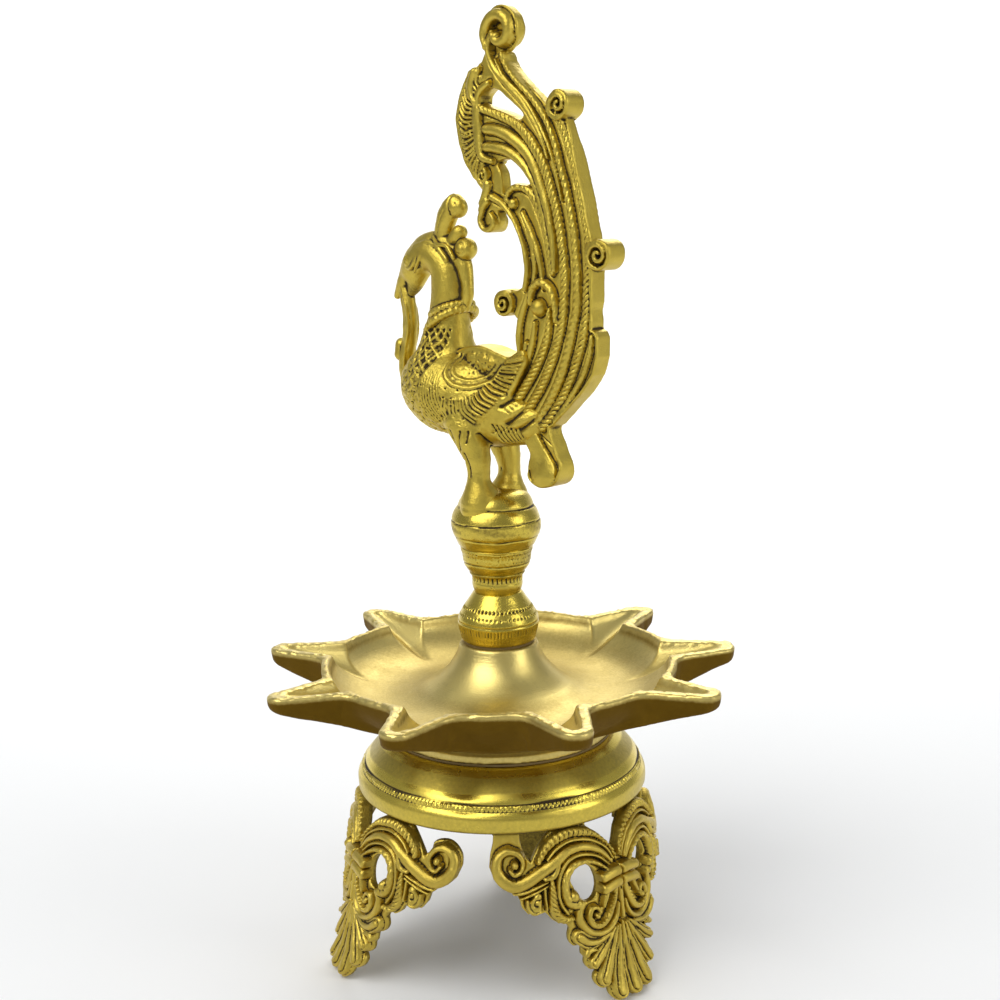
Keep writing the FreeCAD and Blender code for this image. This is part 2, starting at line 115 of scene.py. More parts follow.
class Relief:
    """A relief on a flat grid: ribs of a given height over a lower ground, and the outline it is cut to."""

    def __init__(self, low, high, step):
        self.low, self.step = low, step
        axes = [a + step * np.arange(int(round((b - a) / step)) + 1) for a, b in zip(low, high)]
        self.x, self.y = np.meshgrid(*axes, indexing="ij")
        self.crest = np.full(self.x.shape, -FAR)
        self.edge = np.full(self.x.shape, FAR)
        self.cut = np.zeros(self.x.shape)

    def window(self, low, high):
        """The part of the grid between two corners."""
        span = []
        for k in (0, 1):
            first = int((low[k] - self.low[k]) / self.step)
            last = int((high[k] - self.low[k]) / self.step) + 2
            span.append(slice(min(max(first, 0), self.x.shape[k]), min(max(last, 0), self.x.shape[k])))
        return tuple(span)

    def trace(self, path, reach):
        """Distance from a path, length along it and signed side of it, for every spot within reach."""
        near = np.full(self.x.shape, FAR)
        along = np.zeros(self.x.shape)
        side = np.zeros(self.x.shape)
        done = 0.0
        for a, b in zip(path, path[1:]):
            span = b - a
            length = math.hypot(*span)
            if length < 1e-9:
                continue
            spot = self.window(np.minimum(a, b) - reach, np.maximum(a, b) + reach)
            x, y = self.x[spot] - a[0], self.y[spot] - a[1]
            t = np.clip((x * span[0] + y * span[1]) / length ** 2, 0, 1)
            ex, ey = x - t * span[0], y - t * span[1]
            d = np.hypot(ex, ey)
            better = d < near[spot]
            near[spot] = np.where(better, d, near[spot])
            along[spot] = np.where(better, done + t * length, along[spot])
            side[spot] = np.where(better, np.sign(span[0] * ey - span[1] * ex) * d, side[spot])
            done += length
        return near, along, side, done

    def rib(self, points, half, crest, foot, notch=None, ring=None, fullness=0.55, closed=False):
        """A raised rib along a smooth path. half, its half width, and crest may be lists, spread evenly along
        it. notch is (pitch, depth, slant), ring the (depth, start, finish) of a leaf-shaped line in it."""
        path = curve(points, closed=closed)
        half = np.atleast_1d(np.array(half, float))
        near, along, side, total = self.trace(path, half.max() + self.step)
        share = along / max(total, 1e-6)
        width = np.interp(share, np.linspace(0, 1, len(half)), half)
        crests = np.atleast_1d(np.array(crest, float))
        top = np.interp(share, np.linspace(0, 1, len(crests)), crests)
        t = near / width
        bow = np.clip(1 - t * t, 0, 1) ** fullness
        height = foot + (top - foot) * bow
        if notch:
            pitch, depth, slant = notch
            wave = 0.5 + 0.5 * np.cos(2 * math.pi * (along + slant * side) / pitch)
            height = height - depth * wave ** 2.2 * np.clip(1.25 - t, 0, 1)
        if ring:
            deep, start, finish = ring
            band = np.exp(-((t - 0.5) / 0.14) ** 2) * ramp(share, start - 0.1, start + 0.1)
            height = height - deep * band * (1 - ramp(share, finish, finish + 0.08) * (t < 0.45))
        inside = t < 1
        self.crest = np.where(inside, np.maximum(self.crest, height), self.crest)
        self.edge = np.minimum(self.edge, near - width)
        return self

    def boss(self, x, y, radius, crest, foot):
        """A round knob."""
        near = np.hypot(self.x - x, self.y - y)
        height = foot + (crest - foot) * np.clip(1 - (near / radius) ** 2, 0, 1) ** 0.5
        self.crest = np.where(near < radius, np.maximum(self.crest, height), self.crest)
        self.edge = np.minimum(self.edge, near - radius)

    def beads(self, points, pitch, radius, crest, foot):
        """A row of knobs along a path."""
        path = curve(points)
        steps = np.concatenate([[0], np.cumsum(np.hypot(*np.diff(path, axis=0).T))])
        for s in np.arange(pitch / 2, steps[-1], pitch):
            self.boss(np.interp(s, steps, path[:, 0]), np.interp(s, steps, path[:, 1]), radius, crest, foot)

    def groove(self, points, half, depth):
        """A cut along a path, through ribs and ground."""
        near, _, _, _ = self.trace(curve(points), half + self.step)
        self.cut = np.maximum(self.cut, depth * np.clip(1 - (near / half) ** 2, 0, 1))

    def area(self, points, smooth=True):
        """Distance outside a closed outline, negative inside it, up to AREA_REACH."""
        path = curve(points, 0.8, closed=True) if smooth else np.array(list(points) + [points[0]], float)
        near, _, _, _ = self.trace(path, AREA_REACH)
        inside = np.zeros(self.x.shape, bool)
        for a, b in zip(path, path[1:]):
            if a[1] == b[1]:
                continue
            rows = self.window((self.low[0], min(a[1], b[1]) - self.step), (1e6, max(a[1], b[1]) + self.step))
            x, y = self.x[rows], self.y[rows]
            cross = ((a[1] > y) != (b[1] > y)) & (x < (b[0] - a[0]) * (y - a[1]) / (b[1] - a[1]) + a[0])
            inside[rows] ^= cross
        near = np.minimum(near, AREA_REACH)
        return np.where(inside, -near, near)

    def height(self, ground, groove=0.5):
        """The finished height: ribs where there are any, else the ground with a dark line along each rib."""
        line = groove * np.exp(-(np.maximum(self.edge, 0) / 0.5) ** 2)
        return np.where(self.edge < 0, self.crest, ground - line) - self.cut


# ---------------------------------------------------------------- meshes
def plate(outside, top, bottom, w, step, round_edge):
    """A solid field between a top and a bottom relief, cut to an outline."""
    sides = []
    for sheet, sign in ((top, 1), (bottom, -1)):
        gx, gy = np.gradient(sheet, step)
        slope = np.sqrt(1 + np.minimum(gx * gx + gy * gy, 9))
        sides.append(sign * (w - sheet[..., None]) / slope[..., None])
    return smooth_max(smooth_max(sides[0], sides[1], 0.3), outside[..., None], round_edge)


def skin(field, low, step):
    """Points (mm) and outward quads of the surface where a field crosses zero."""
    field = np.array(field, np.float32)
    for axis in range(3):
        for end in (0, -1):
            edge = [slice(None)] * 3
            edge[axis] = end
            field[tuple(edge)] = np.maximum(field[tuple(edge)], 0.5 * step)
    grid = vdb.FloatGrid(1.0)
    grid.copyFromArray(np.clip(field, -2 * step, 2 * step))
    points, quads = grid.convertToQuads(0.0)
    return points.astype(float) * step + np.array(low), quads.astype(int)


def spread(values, quads, count):
    """The mean of each point's neighbours."""
    a = quads.ravel()
    b = np.roll(quads, -1, axis=1).ravel()
    many = np.maximum(np.bincount(a, minlength=count), 1)
    return (np.stack([np.bincount(a, weights=values[b, k], minlength=count) for k in range(3)], 1)
            / many[:, None])


def soften(points, quads, rounds):
    """Evens out the grid's small steps without shrinking the mesh."""
    for _ in range(rounds):
        points = points + 0.55 * (spread(points, quads, len(points)) - points)
        points = points - 0.56 * (spread(points, quads, len(points)) - points)
    return points


def outward(points, quads):
    """Unit normals at the points."""
    face = np.cross(points[quads[:, 2]] - points[quads[:, 0]], points[quads[:, 3]] - points[quads[:, 1]])
    total = np.zeros(points.shape)
    for corner in range(4):
        for k in range(3):
            total[:, k] += np.bincount(quads[:, corner], weights=face[:, k], minlength=len(points))
    return total / np.maximum(np.linalg.norm(total, axis=1), 1e-9)[:, None]


def hollows(points, quads, near=3, far=26):
    """How deep each point sits below its surroundings, in millimetres: (fine, broad), positive in a recess.
    near and far are how many rounds of averaging reach those surroundings."""
    normal = outward(points, quads)
    found = []
    mean = points
    done = 0
    for rounds in (near, far):
        while done < rounds:
            mean = mean + 0.9 * (spread(mean, quads, len(points)) - mean)
            done += 1
        found.append(((mean - points) * normal).sum(1))
    return found


def piece(name, points, faces, body, nodes, material, patina_and_shade):
    """A finished mesh in its place. patina is 0 for bright metal and 1 where it is darkest, from oxide in the
    recesses and, on some parts, painted shade.
    """
    mesh = bpy.data.meshes.new(name)
    points = np.asarray(points, float) * MM
    faces = np.asarray(faces, int)
    mesh.vertices.add(len(points))
    mesh.vertices.foreach_set("co", points.ravel())
    three = faces[:, 2] == faces[:, 3]
    sizes = np.where(three, 3, 4)
    loops = faces.ravel()[np.column_stack([np.ones((len(faces), 3), bool), ~three]).ravel()]
    mesh.loops.add(len(loops))
    mesh.loops.foreach_set("vertex_index", loops)
    mesh.polygons.add(len(faces))
    mesh.polygons.foreach_set("loop_start", np.concatenate([[0], np.cumsum(sizes)[:-1]]))
    mesh.update(calc_edges=True)
    mesh.validate()
    mesh.shade_smooth()
    layer = mesh.attributes.new("patina_and_shade", "FLOAT", "POINT")
    layer.data.foreach_set("value", np.clip(patina_and_shade, 0, 1).astype(np.float32))
    mesh.materials.append(material)
    made = bpy.data.objects.new(name, mesh)
    bpy.context.scene.collection.objects.link(made)
    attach(made, body)
    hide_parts(*nodes)


def lathe(profile, sides, bump):
    """Points and quads of a turned ring, and how far bump(r, z, angle) moved each point outwards.
    profile is a closed (r, z) outline whose outer wall runs upwards, so that the faces look outwards."""
    profile = np.array(profile, float)
    angle = 2 * math.pi * np.arange(sides) / sides
    along = np.roll(profile, -1, axis=0) - np.roll(profile, 1, axis=0)
    normal = np.column_stack([along[:, 1], -along[:, 0]])
    normal /= np.maximum(np.linalg.norm(normal, axis=1), 1e-9)[:, None]
    r = np.repeat(profile[:, :1], sides, axis=1)
    z = np.repeat(profile[:, 1:], sides, axis=1)
    out = bump(r, z, np.broadcast_to(angle, r.shape))
    r = r + out * normal[:, :1]
    z = z + out * normal[:, 1:]
    points = np.stack([r * np.sin(angle), -r * np.cos(angle), z], -1).reshape(-1, 3)
    row = np.arange(len(profile))[:, None] * sides
    after = np.roll(np.arange(len(profile)), -1)[:, None] * sides
    here = np.arange(sides)[None, :]
    there = (here + 1) % sides
    quads = np.stack([row + here, row + there, after + there, after + here], -1).reshape(-1, 4)
    return points, quads, out.ravel()


def resample(points, step, curved=True):
    """Points along a profile at a given spacing."""
    path = curve(points, step / 2) if curved else np.array(points, float)
    s = np.concatenate([[0], np.cumsum(np.hypot(*np.diff(path, axis=0).T))])
    t = np.linspace(0, s[-1], max(2, int(round(s[-1] / step)) + 1))
    return np.column_stack([np.interp(t, s, path[:, 0]), np.interp(t, s, path[:, 1])])


def outline(*stretches):
    """A profile from stretches of (step, curved, points); each starts where the last one ended."""
    rows = []
    for step, curved, points in stretches:
        part = resample(points, step, curved)
        rows.append(part if not rows else part[1:])
    rows = np.vstack(rows)
    return rows[:-1] if np.allclose(rows[0], rows[-1]) else rows


# ---------------------------------------------------------------- materials
BRASS = (0.60, 0.455, 0.072)
PALE_BRASS = (0.70, 0.56, 0.185)
DARK = (0.045, 0.028, 0.006)
# the strength of the tarnish, and the sizes of its clouds, blotches and specks in millimetres
STAIN = 0.35
CLOUD, BLOTCH, SPECK = 9.0, 2.6, 1.1
# how deep the bump of the grain and of the tool lines goes, in metres, and the lines' number in a metre
GRAIN_DEEP, LINE_DEEP = 0.0003, 0.0002
LINES_ACROSS, LINES_UP = 1900.0, 1500.0


def brass(name, colour, tint, rough, grain, grain_depth, turned=0.0, dark=DARK, fleck=0.16, metal=0.55):
    """Brass with patina in the recesses, painted shade where a part's layer holds it, cloudy tarnish, a cast
    grain and, on turned parts, fine tool lines. tint is the tarnished colour and dark the colour of the
    recesses and of the painted shade, where metal is how metallic it looks.
    grain is the size of the casting's grain in millimetres and grain_depth how strong it is; turned is the
    strength of the tool lines and fleck how much fine noise breaks up the dark layer's edge."""
    material = bpy.data.materials.new(name)
    material.use_nodes = True
    nodes, links = material.node_tree.nodes, material.node_tree.links
    nodes.clear()
    new = nodes.new
    output = new("ShaderNodeOutputMaterial")
    shader = new("ShaderNodeBsdfPrincipled")
    links.new(shader.outputs[0], output.inputs["Surface"])
    place = new("ShaderNodeTexCoord")

    def noise(size, detail=2.0, roughness=0.5):
        node = new("ShaderNodeTexNoise")
        node.inputs["Scale"].default_value = 1000.0 / size
        node.inputs["Detail"].default_value = detail
        node.inputs["Roughness"].default_value = roughness
        links.new(place.outputs["Object"], node.inputs["Vector"])
        return node.outputs["Fac"]

    def scaled(source, low, high, to_low, to_high):
        node = new("ShaderNodeMapRange")
        node.inputs["From Min"].default_value = low
        node.inputs["From Max"].default_value = high
        node.inputs["To Min"].default_value = to_low
        node.inputs["To Max"].default_value = to_high
        links.new(source, node.inputs["Value"])
        return node.outputs[0]

    def joined(kind, a, b):
        node = new("ShaderNodeMath")
        node.operation = kind
        for k, source in enumerate((a, b)):
            if isinstance(source, (int, float)):
                node.inputs[k].default_value = source
            else:
                links.new(source, node.inputs[k])
        return node.outputs[0]

    def mixed(factor, a, b):
        node = new("ShaderNodeMix")
        node.data_type = "RGBA"
        links.new(factor, node.inputs[0])
        for k, source in ((6, a), (7, b)):
            if isinstance(source, tuple):
                node.inputs[k].default_value = source + (1.0,)
            else:
                links.new(source, node.inputs[k])
        return node.outputs[2]

    layer = new("ShaderNodeAttribute")
    layer.attribute_name = "patina_and_shade"
    cloud = noise(CLOUD, 3.0, 0.6)
    speck = noise(SPECK, 3.0, 0.65)
    # the recesses and the painted shade: the layer's value broken up by fine noise
    recess_and_shade = joined("ADD", layer.outputs["Fac"], scaled(speck, 0.3, 0.7, -fleck, fleck))
    recess_and_shade = scaled(recess_and_shade, 0.28, 0.85, 0.0, 1.0)
    tarnish = scaled(cloud, 0.42, 0.68, 0.0, STAIN)
    bright = mixed(tarnish, colour, tint)
    shade = tuple(0.62 * c for c in colour)
    bright = mixed(scaled(noise(BLOTCH), 0.56, 0.78, 0.0, STAIN * 0.6), bright, shade)
    links.new(mixed(recess_and_shade, bright, dark), shader.inputs["Base Color"])
    links.new(scaled(recess_and_shade, 0.0, 1.0, 1.0, metal), shader.inputs["Metallic"])
    gloss = joined("ADD", scaled(cloud, 0.3, 0.7, rough - 0.05, rough + 0.07),
                   scaled(recess_and_shade, 0.0, 1.0, 0.0, 0.38))
    links.new(gloss, shader.inputs["Roughness"])

    grit = noise(grain, 2.0, 0.55)
    bump = new("ShaderNodeBump")
    bump.inputs["Strength"].default_value = grain_depth
    bump.inputs["Distance"].default_value = GRAIN_DEEP
    links.new(grit, bump.inputs["Height"])
    last = bump
    if turned > 0:
        split = new("ShaderNodeSeparateXYZ")
        links.new(place.outputs["Object"], split.inputs[0])
        x, y, z = split.outputs
        radius = joined("SQRT", joined("ADD", joined("MULTIPLY", x, x), joined("MULTIPLY", y, y)), 0.0)
        rings = new("ShaderNodeTexNoise")
        rings.noise_dimensions = "2D"
        rings.inputs["Scale"].default_value = 1.0
        rings.inputs["Detail"].default_value = 2.0
        spot = new("ShaderNodeCombineXYZ")
        links.new(joined("MULTIPLY", radius, LINES_ACROSS), spot.inputs[0])
        links.new(joined("MULTIPLY", z, LINES_UP), spot.inputs[1])
        links.new(spot.outputs[0], rings.inputs["Vector"])
        lines = new("ShaderNodeBump")
        lines.inputs["Strength"].default_value = turned
        lines.inputs["Distance"].default_value = LINE_DEEP
        links.new(rings.outputs["Fac"], lines.inputs["Height"])
        links.new(bump.outputs[0], lines.inputs["Normal"])
        last = lines
    links.new(last.outputs[0], shader.inputs["Normal"])
    return material


cast_brass = brass("cast_brass", BRASS, (0.40, 0.28, 0.036), 0.37, 0.55, 0.45)
leg_brass = brass("leg_brass", (0.60, 0.45, 0.08), (0.40, 0.275, 0.04), 0.37, 0.5, 0.50)
dome_brass = brass("dome_brass", (0.74, 0.575, 0.09), (0.70, 0.54, 0.10), 0.25, 1.4, 0.10, turned=0.12,
                   fleck=0.06)
# on the bowl, dark is the brown of the painted shade on its flanks and undersides as well as of its recesses
bowl_brass = brass("bowl_brass", PALE_BRASS, (0.66, 0.52, 0.165), 0.34, 0.5, 0.22, turned=0.16,
                   dark=(0.175, 0.10, 0.010), fleck=0.05, metal=1.0)
stem_brass = brass("stem_brass", (0.62, 0.48, 0.075), (0.56, 0.42, 0.08), 0.25, 0.8, 0.22, turned=0.10)


# ---------------------------------------------------------------- legs
LEG_BEARING = {"leg_left": -65.0, "leg_right": 44.5, "leg_rear": 167.0}
# how far each toe is bent sideways, in degrees, and the height from which the bend runs down
TOE_SWING = {"leg_left": -8.4, "leg_right": 2.6, "leg_rear": 0.0}
SWING_TOP = 58.0
# how far the left toe also stands out, for each degree of its bend
TOE_FLARE = 0.3
# how far the legs' outer halves hang down
SAG = 2.6
# the face of the ground between the ribs, and the leg's back, behind the front surface
LEG_GROUND, LEG_BACK = -1.9, -5.0
LEG_TOP = 64.2
# the tabs behind the rim: their bearing from the leg's middle and half width in degrees, and their inner face
TAB_BEARING, TAB_HALF, TAB_INNER = 18.0, 4.4, 45.0
# the radius of the leg's front surface at a height
LEG_FACE = np.array([(64.5, 0.0), (62.3, 4.0), (60.0, 10.0), (58.2, 20.0), (57.4, 32.0), (56.6, 45.0),
                     (55.0, 55.0), (52.3, 64.3)])


def draw_leg(step):
    """Half a leg, unrolled: x is the arc from its middle in degrees, y is the height."""
    half = Relief((0.0, -1.5), (53.0, 67.0), step)
    g = LEG_GROUND
    rib, groove = half.rib, half.groove
    # fronds that rise from the binding to the rim
    rib([(1.0, 50.8), (3.0, 55.6), (7.9, 60.2), (13.4, 62.0), (19.4, 62.5), (25.2, 61.1), (29.2, 58.5),
         (32.0, 55.2)], [0.6, 1.2, 1.6, 1.8, 1.8, 1.6, 1.2], 0.5, g, notch=(2.0, 0.8, 0.3))
    rib([(2.0, 50.2), (4.9, 54.9), (10.0, 58.4), (15.4, 59.9), (20.6, 59.9), (25.4, 58.0), (28.9, 55.2)],
        [0.5, 0.7, 0.75, 0.7, 0.5], 0.0, g)
    rib([(3.4, 49.6), (6.6, 53.6), (11.4, 56.5), (16.2, 57.4), (21.2, 56.6), (25.2, 54.3), (29.3, 52.2),
         (33.1, 50.9), (37.2, 49.9), (41.5, 49.8), (45.4, 51.9), (47.2, 55.8), (46.0, 59.7), (42.6, 61.3),
         (39.2, 60.0), (37.6, 57.2), (38.6, 54.4), (40.9, 53.6), (42.4, 55.2)],
        [0.6, 1.1, 1.4, 1.5, 1.5, 1.6, 1.9, 2.1, 2.3, 2.4, 2.4, 2.3, 2.0, 1.6, 1.2, 1.0, 0.9, 0.8], 0.45, g,
        fullness=0.4)
    half.boss(40.5, 56.6, 1.5, 0.5, g)
    rib([(4.4, 48.8), (8.2, 52.3), (12.8, 54.4), (17.2, 54.9), (21.2, 53.6), (24.0, 50.8), (25.6, 47.0),
         (26.0, 43.0), (25.2, 39.2), (23.2, 35.8)], [0.5, 0.8, 0.8, 0.8, 0.7], 0.0, g)
    rib([(5.5, 47.4), (9.0, 50.2), (12.2, 51.8), (16.0, 52.4), (19.6, 51.4), (22.2, 48.8), (23.3, 45.6),
         (23.0, 41.8), (21.4, 38.9), (18.8, 38.2)], [0.6, 0.9, 1.1, 1.2, 1.4, 1.7, 1.9, 2.0, 2.0], 0.5, g,
        notch=(2.6, 0.35, 0.5))
    half.boss(20.3, 41.2, 2.1, 1.0, g)
    # the joint between the frond and the leaf under it
    rib([(24.6, 54.6), (25.6, 52.2), (27.4, 49.6), (30.6, 49.2)], [0.7, 1.5, 1.3, 0.8], 0.6, g)
    rib([(41.8, 47.3), (37.4, 47.0), (33.2, 47.3), (29.6, 48.0)], [0.5, 0.8, 0.7, 0.4], 0.1, g)
    rib([(39.8, 45.4), (36.0, 45.4), (32.4, 45.8), (29.6, 46.6)], [0.5, 0.7, 0.6, 0.4], -0.2, g)
    # notched leaf and side lobe
    rib([(28.0, 47.4), (27.9, 43.2), (28.0, 39.4), (26.8, 35.6), (24.2, 33.6), (21.6, 33.6)],
        [1.0, 1.5, 1.8, 2.0, 1.7, 1.0], 0.2, g, notch=(1.7, 0.6, 0.8))
    rib([(30.8, 45.6), (30.9, 42.2), (30.6, 38.6)], [0.6, 0.6], 0.0, g)
    rib([(33.6, 43.6), (34.6, 41.2), (34.4, 39.6)], [1.6, 2.6, 2.2], 0.0, g, fullness=0.3)
    rib([(37.2, 44.0), (36.9, 41.0), (35.4, 39.0), (33.2, 38.6)], [0.7, 0.8, 0.6], 0.4, g)
    groove([(32.8, 42.6), (34.2, 43.0), (34.8, 41.6), (33.8, 40.8)], 0.5, 0.7)
    # small beaded volute under the eye, with its stem and the loop round it
    rib([(2.4, 40.6), (3.3, 37.0), (5.0, 33.2), (7.4, 29.9), (10.9, 28.5), (14.0, 29.7), (15.1, 32.6),
         (13.8, 35.2), (11.6, 35.2), (10.5, 33.3)], [1.2, 1.3, 1.4, 1.4, 1.4, 1.3, 1.2, 1.0, 0.8], 0.3, g)
    half.beads([(3.6, 38.4), (5.2, 34.0), (7.6, 30.4), (10.9, 29.1), (13.6, 30.3), (14.6, 32.6)], 1.5, 0.6,
               0.75, 0.0)
    half.boss(11.9, 32.4, 1.3, 0.7, g)
    rib([(6.4, 40.2), (7.7, 37.6), (8.9, 35.0)], [1.0, 1.0, 0.7], 0.5, g)
    rib([(16.9, 38.4), (18.8, 35.2), (18.0, 30.8), (14.8, 27.2), (10.2, 25.6), (6.0, 26.8), (3.2, 29.8),
         (1.9, 34.0)], [0.9, 1.5, 1.7, 1.5, 1.3, 1.1, 0.9, 0.7], 0.2, g)
    rib([(0, 41.0), (0, 34.0), (0, 28.5)], [1.3, 1.1, 0.8], 0.2, g)
    # palmette foot
    rib([(0, 26.5), (0, 18.0), (0, 10.5), (0, 4.4)], [0.5, 1.3, 2.3, 3.2, 3.4], [-0.6, 0.2, 0.6, 0.9], g,
        ring=(0.9, 0.35, 0.85))
    for path, width in (
            ([(1.4, 25.6), (3.4, 17.2), (5.2, 10.6), (6.5, 4.6)], [0.5, 1.3, 2.3, 3.0, 3.1]),
            ([(2.6, 25.6), (6.6, 18.8), (9.6, 13.4), (11.6, 9.6)], [0.5, 1.3, 2.0, 2.5, 2.5]),
            ([(4.0, 25.6), (8.7, 21.2), (12.2, 18.0), (14.7, 16.2)], [0.5, 1.2, 1.8, 2.2, 2.2])):
        rib(path, width, [-0.6, 0.2, 0.5, 0.8], g, ring=(0.9, 0.3, 0.85))
    rib([(6.6, 24.4), (11.4, 23.2), (16.0, 23.8), (19.4, 26.4)], [0.6, 1.5, 2.3, 2.9, 2.8], [-0.4, 0.3, 0.5],
        g, ring=(0.8, 0.3, 0.85))
    rib([(17.4, 19.6), (16.2, 20.6), (13.6, 20.6)], [1.3, 1.2, 0.6], 0.1, g)
    # the binding: two straps, each split down the middle
    for low, high in (((0.2, 42.0), (8.2, 41.0)), ((0.2, 46.0), (8.4, 45.2))):
        rib([low, (4.2, (low[1] + high[1]) / 2 + 0.3), high], [1.9, 1.9, 1.8], 1.6, -1.0, fullness=0.35)
    groove([(0, 49.0), (0, 39.0)], 0.55, 1.6)
    shape = half.area([(0, 49.4), (1.3, 53.4), (5.4, 58.8), (11.0, 63.2), (19.6, 64.6), (26.4, 63.2),
                       (31.6, 58.6), (34.6, 55.4), (36.2, 57.6), (37.6, 61.2), (38.6, 65.2), (48.0, 65.2),
                       (49.4, 60.0), (49.9, 55.6), (48.6, 51.4), (45.6, 48.6), (42.2, 46.9), (39.6, 44.8),
                       (39.0, 41.6), (36.8, 38.2), (33.4, 36.9), (31.0, 36.9), (29.0, 33.8), (26.2, 31.9),
                       (23.0, 31.6), (22.2, 29.4), (22.6, 26.4), (20.6, 23.6), (18.2, 21.9), (18.4, 19.2),
                       (16.2, 16.0), (13.6, 13.0), (11.0, 9.5), (8.6, 5.0), (4.0, 2.0), (-6.0, 2.0),
                       (-6.0, 49.4)], smooth=False)
    for x, y, radius in ((0, 4.4, 3.9), (6.5, 4.4, 3.7), (11.7, 9.5, 3.2), (14.8, 16.2, 2.8),
                         (19.6, 26.4, 3.5)):
        shape = smooth_min(shape, np.hypot(half.x - x, half.y - y) - radius, 0.4)
    eye = half.area([(14.6, 50.6), (11.2, 48.9), (9.4, 45.4), (9.3, 41.0), (11.4, 37.8), (15.0, 37.6),
                     (17.9, 41.4), (20.4, 46.0), (18.8, 49.6)])
    shape = smooth_max(shape, -eye, 0.4)
    return half, half.height(LEG_GROUND, 0.6), shape


def leg_mesh(top, shape, arc_low, z_low, step):
    """The unrolled leg as a mesh: x is the arc, y the height and z how far it stands out."""
    low_w, high_w = -10.8, 2.8
    w = low_w + step * np.arange(int((high_w - low_w) / step))
    arc = arc_low + step * np.arange(top.shape[0])
    z = z_low + step * np.arange(top.shape[1])
    back = LEG_BACK + rumple(top.shape, 14, 0.12)
    topped = smooth_max(shape, (z - LEG_TOP)[None, :], 0.3)
    field = plate(topped, top, back, w[None, None, :], step, 0.9)
    face = np.interp(z, LEG_FACE[:, 1], LEG_FACE[:, 0])
    r = face[None, :, None] + w[None, None, :]
    # the two tabs behind the rim
    reach = np.abs(np.abs(arc)[:, None, None] - TAB_BEARING) - TAB_HALF
    low_tab = np.maximum(np.maximum(TAB_INNER - r, r - 50.5), np.abs(z[None, :, None] - 61.1) - 3.1)
    high_tab = np.maximum(np.maximum(TAB_INNER - r, r - 47.5), np.abs(z[None, :, None] - 66.0) - 5.5)
    field = np.minimum(field, np.maximum(np.minimum(low_tab, high_tab), reach))
    points, quads = skin(field, (arc_low, z_low, low_w), step)
    return soften(points, quads, 1), quads


def make_legs():
    """The three legs, rolled up from one drawing; only the left one's front volute is free of the rim."""
    step = 0.33
    half, top, shape = draw_leg(step)
    top = np.vstack([top[:0:-1], top])
    shape = np.vstack([shape[:0:-1], shape])
    top = top + rumple(top.shape, 9, 0.10) + rumple(top.shape, 2.4, 0.035)
    shape = shape + rumple(shape.shape, 10, 0.12)
    arc_low, z_low = -half.x[-1, 0], half.low[1]
    # room for the two tabs behind the rim
    extra = int(6.5 / step)
    top = np.pad(top, ((0, 0), (0, extra)), mode="edge")
    shape = np.pad(shape, ((0, 0), (0, extra)), constant_values=6.0)
    # the left leg's front volute does not reach the rim
    arc = arc_low + step * np.arange(top.shape[0])[:, None]
    z = z_low + step * np.arange(top.shape[1])[None, :]
    volute = np.hypot(arc - 42.4, z - 55.6) - 7.6
    free = np.where((arc > 35.0) & (z > 57.0), smooth_max(shape, volute, 0.4), shape)
    for cut, names in ((shape, ("leg_right", "leg_rear")), (free, ("leg_left",))):
        points, quads = leg_mesh(top, cut, arc_low, z_low, step)
        fine, broad = hollows(points, quads)
        patina_and_shade = np.clip(fine / 0.09, 0, 1) * 0.7 + np.clip((broad + 0.03) / 0.36, 0, 1) * 0.85
        patina_and_shade = np.where(points[:, 2] < -3.6, 0.55 + 0.2 * patina_and_shade, patina_and_shade)
        radius = np.interp(points[:, 1], LEG_FACE[:, 1], LEG_FACE[:, 0]) + points[:, 2]
        # the outer halves hang a little, but their lugs still meet the rim
        sag = SAG * ramp(np.abs(points[:, 0]), 29, 42) * ramp(points[:, 1], 64.3, 63.3)
        for name in names:
            swing = TOE_SWING[name] * np.maximum(0.0, 1.0 - points[:, 1] / SWING_TOP)
            turn = np.radians(points[:, 0] + swing + LEG_BEARING[name])
            reach = radius - TOE_FLARE * swing * (name == "leg_left")
            placed = np.column_stack([reach * np.sin(turn), -reach * np.cos(turn), points[:, 1] - sag])
            piece(name + "_cast", placed, quads, "base", [name], leg_brass, patina_and_shade)


# ---------------------------------------------------------------- peacock
# The bird is drawn in its own plane: u runs from the head to the tail, v is the height and w is towards its
# near side.
# how far the plane passes beside the lamp's axis
BIRD_X = -1.0
# how far the tail's ground, between the strands, stands from the plane
TAIL_GROUND = 2.1
# the windows through the tail plate
OPEN_EYES = ([(6.5, 308.3), (3.6, 307.3), (1.2, 305.8), (1.4, 304.0), (7.5, 301.9), (13.0, 300.4),
              (18.0, 298.0), (20.2, 298.8), (18.2, 301.0), (14.0, 304.3), (10.5, 306.8)],
             [(7.4, 284.3), (12.0, 285.2), (16.0, 283.8), (20.2, 280.9), (23.4, 277.6), (20.8, 276.8),
              (15.5, 277.2), (12.0, 274.9), (10.6, 273.6), (10.2, 276.5), (9.6, 281.0)])


def on_lamp(points):
    """Puts the bird's (u, v, w) points on the lamp, where its plane stands at 45 degrees to the front."""
    turn = math.sqrt(0.5)
    u, v, w = points.T
    return np.column_stack([(u - w) * turn + BIRD_X, -(u + w) * turn, v])


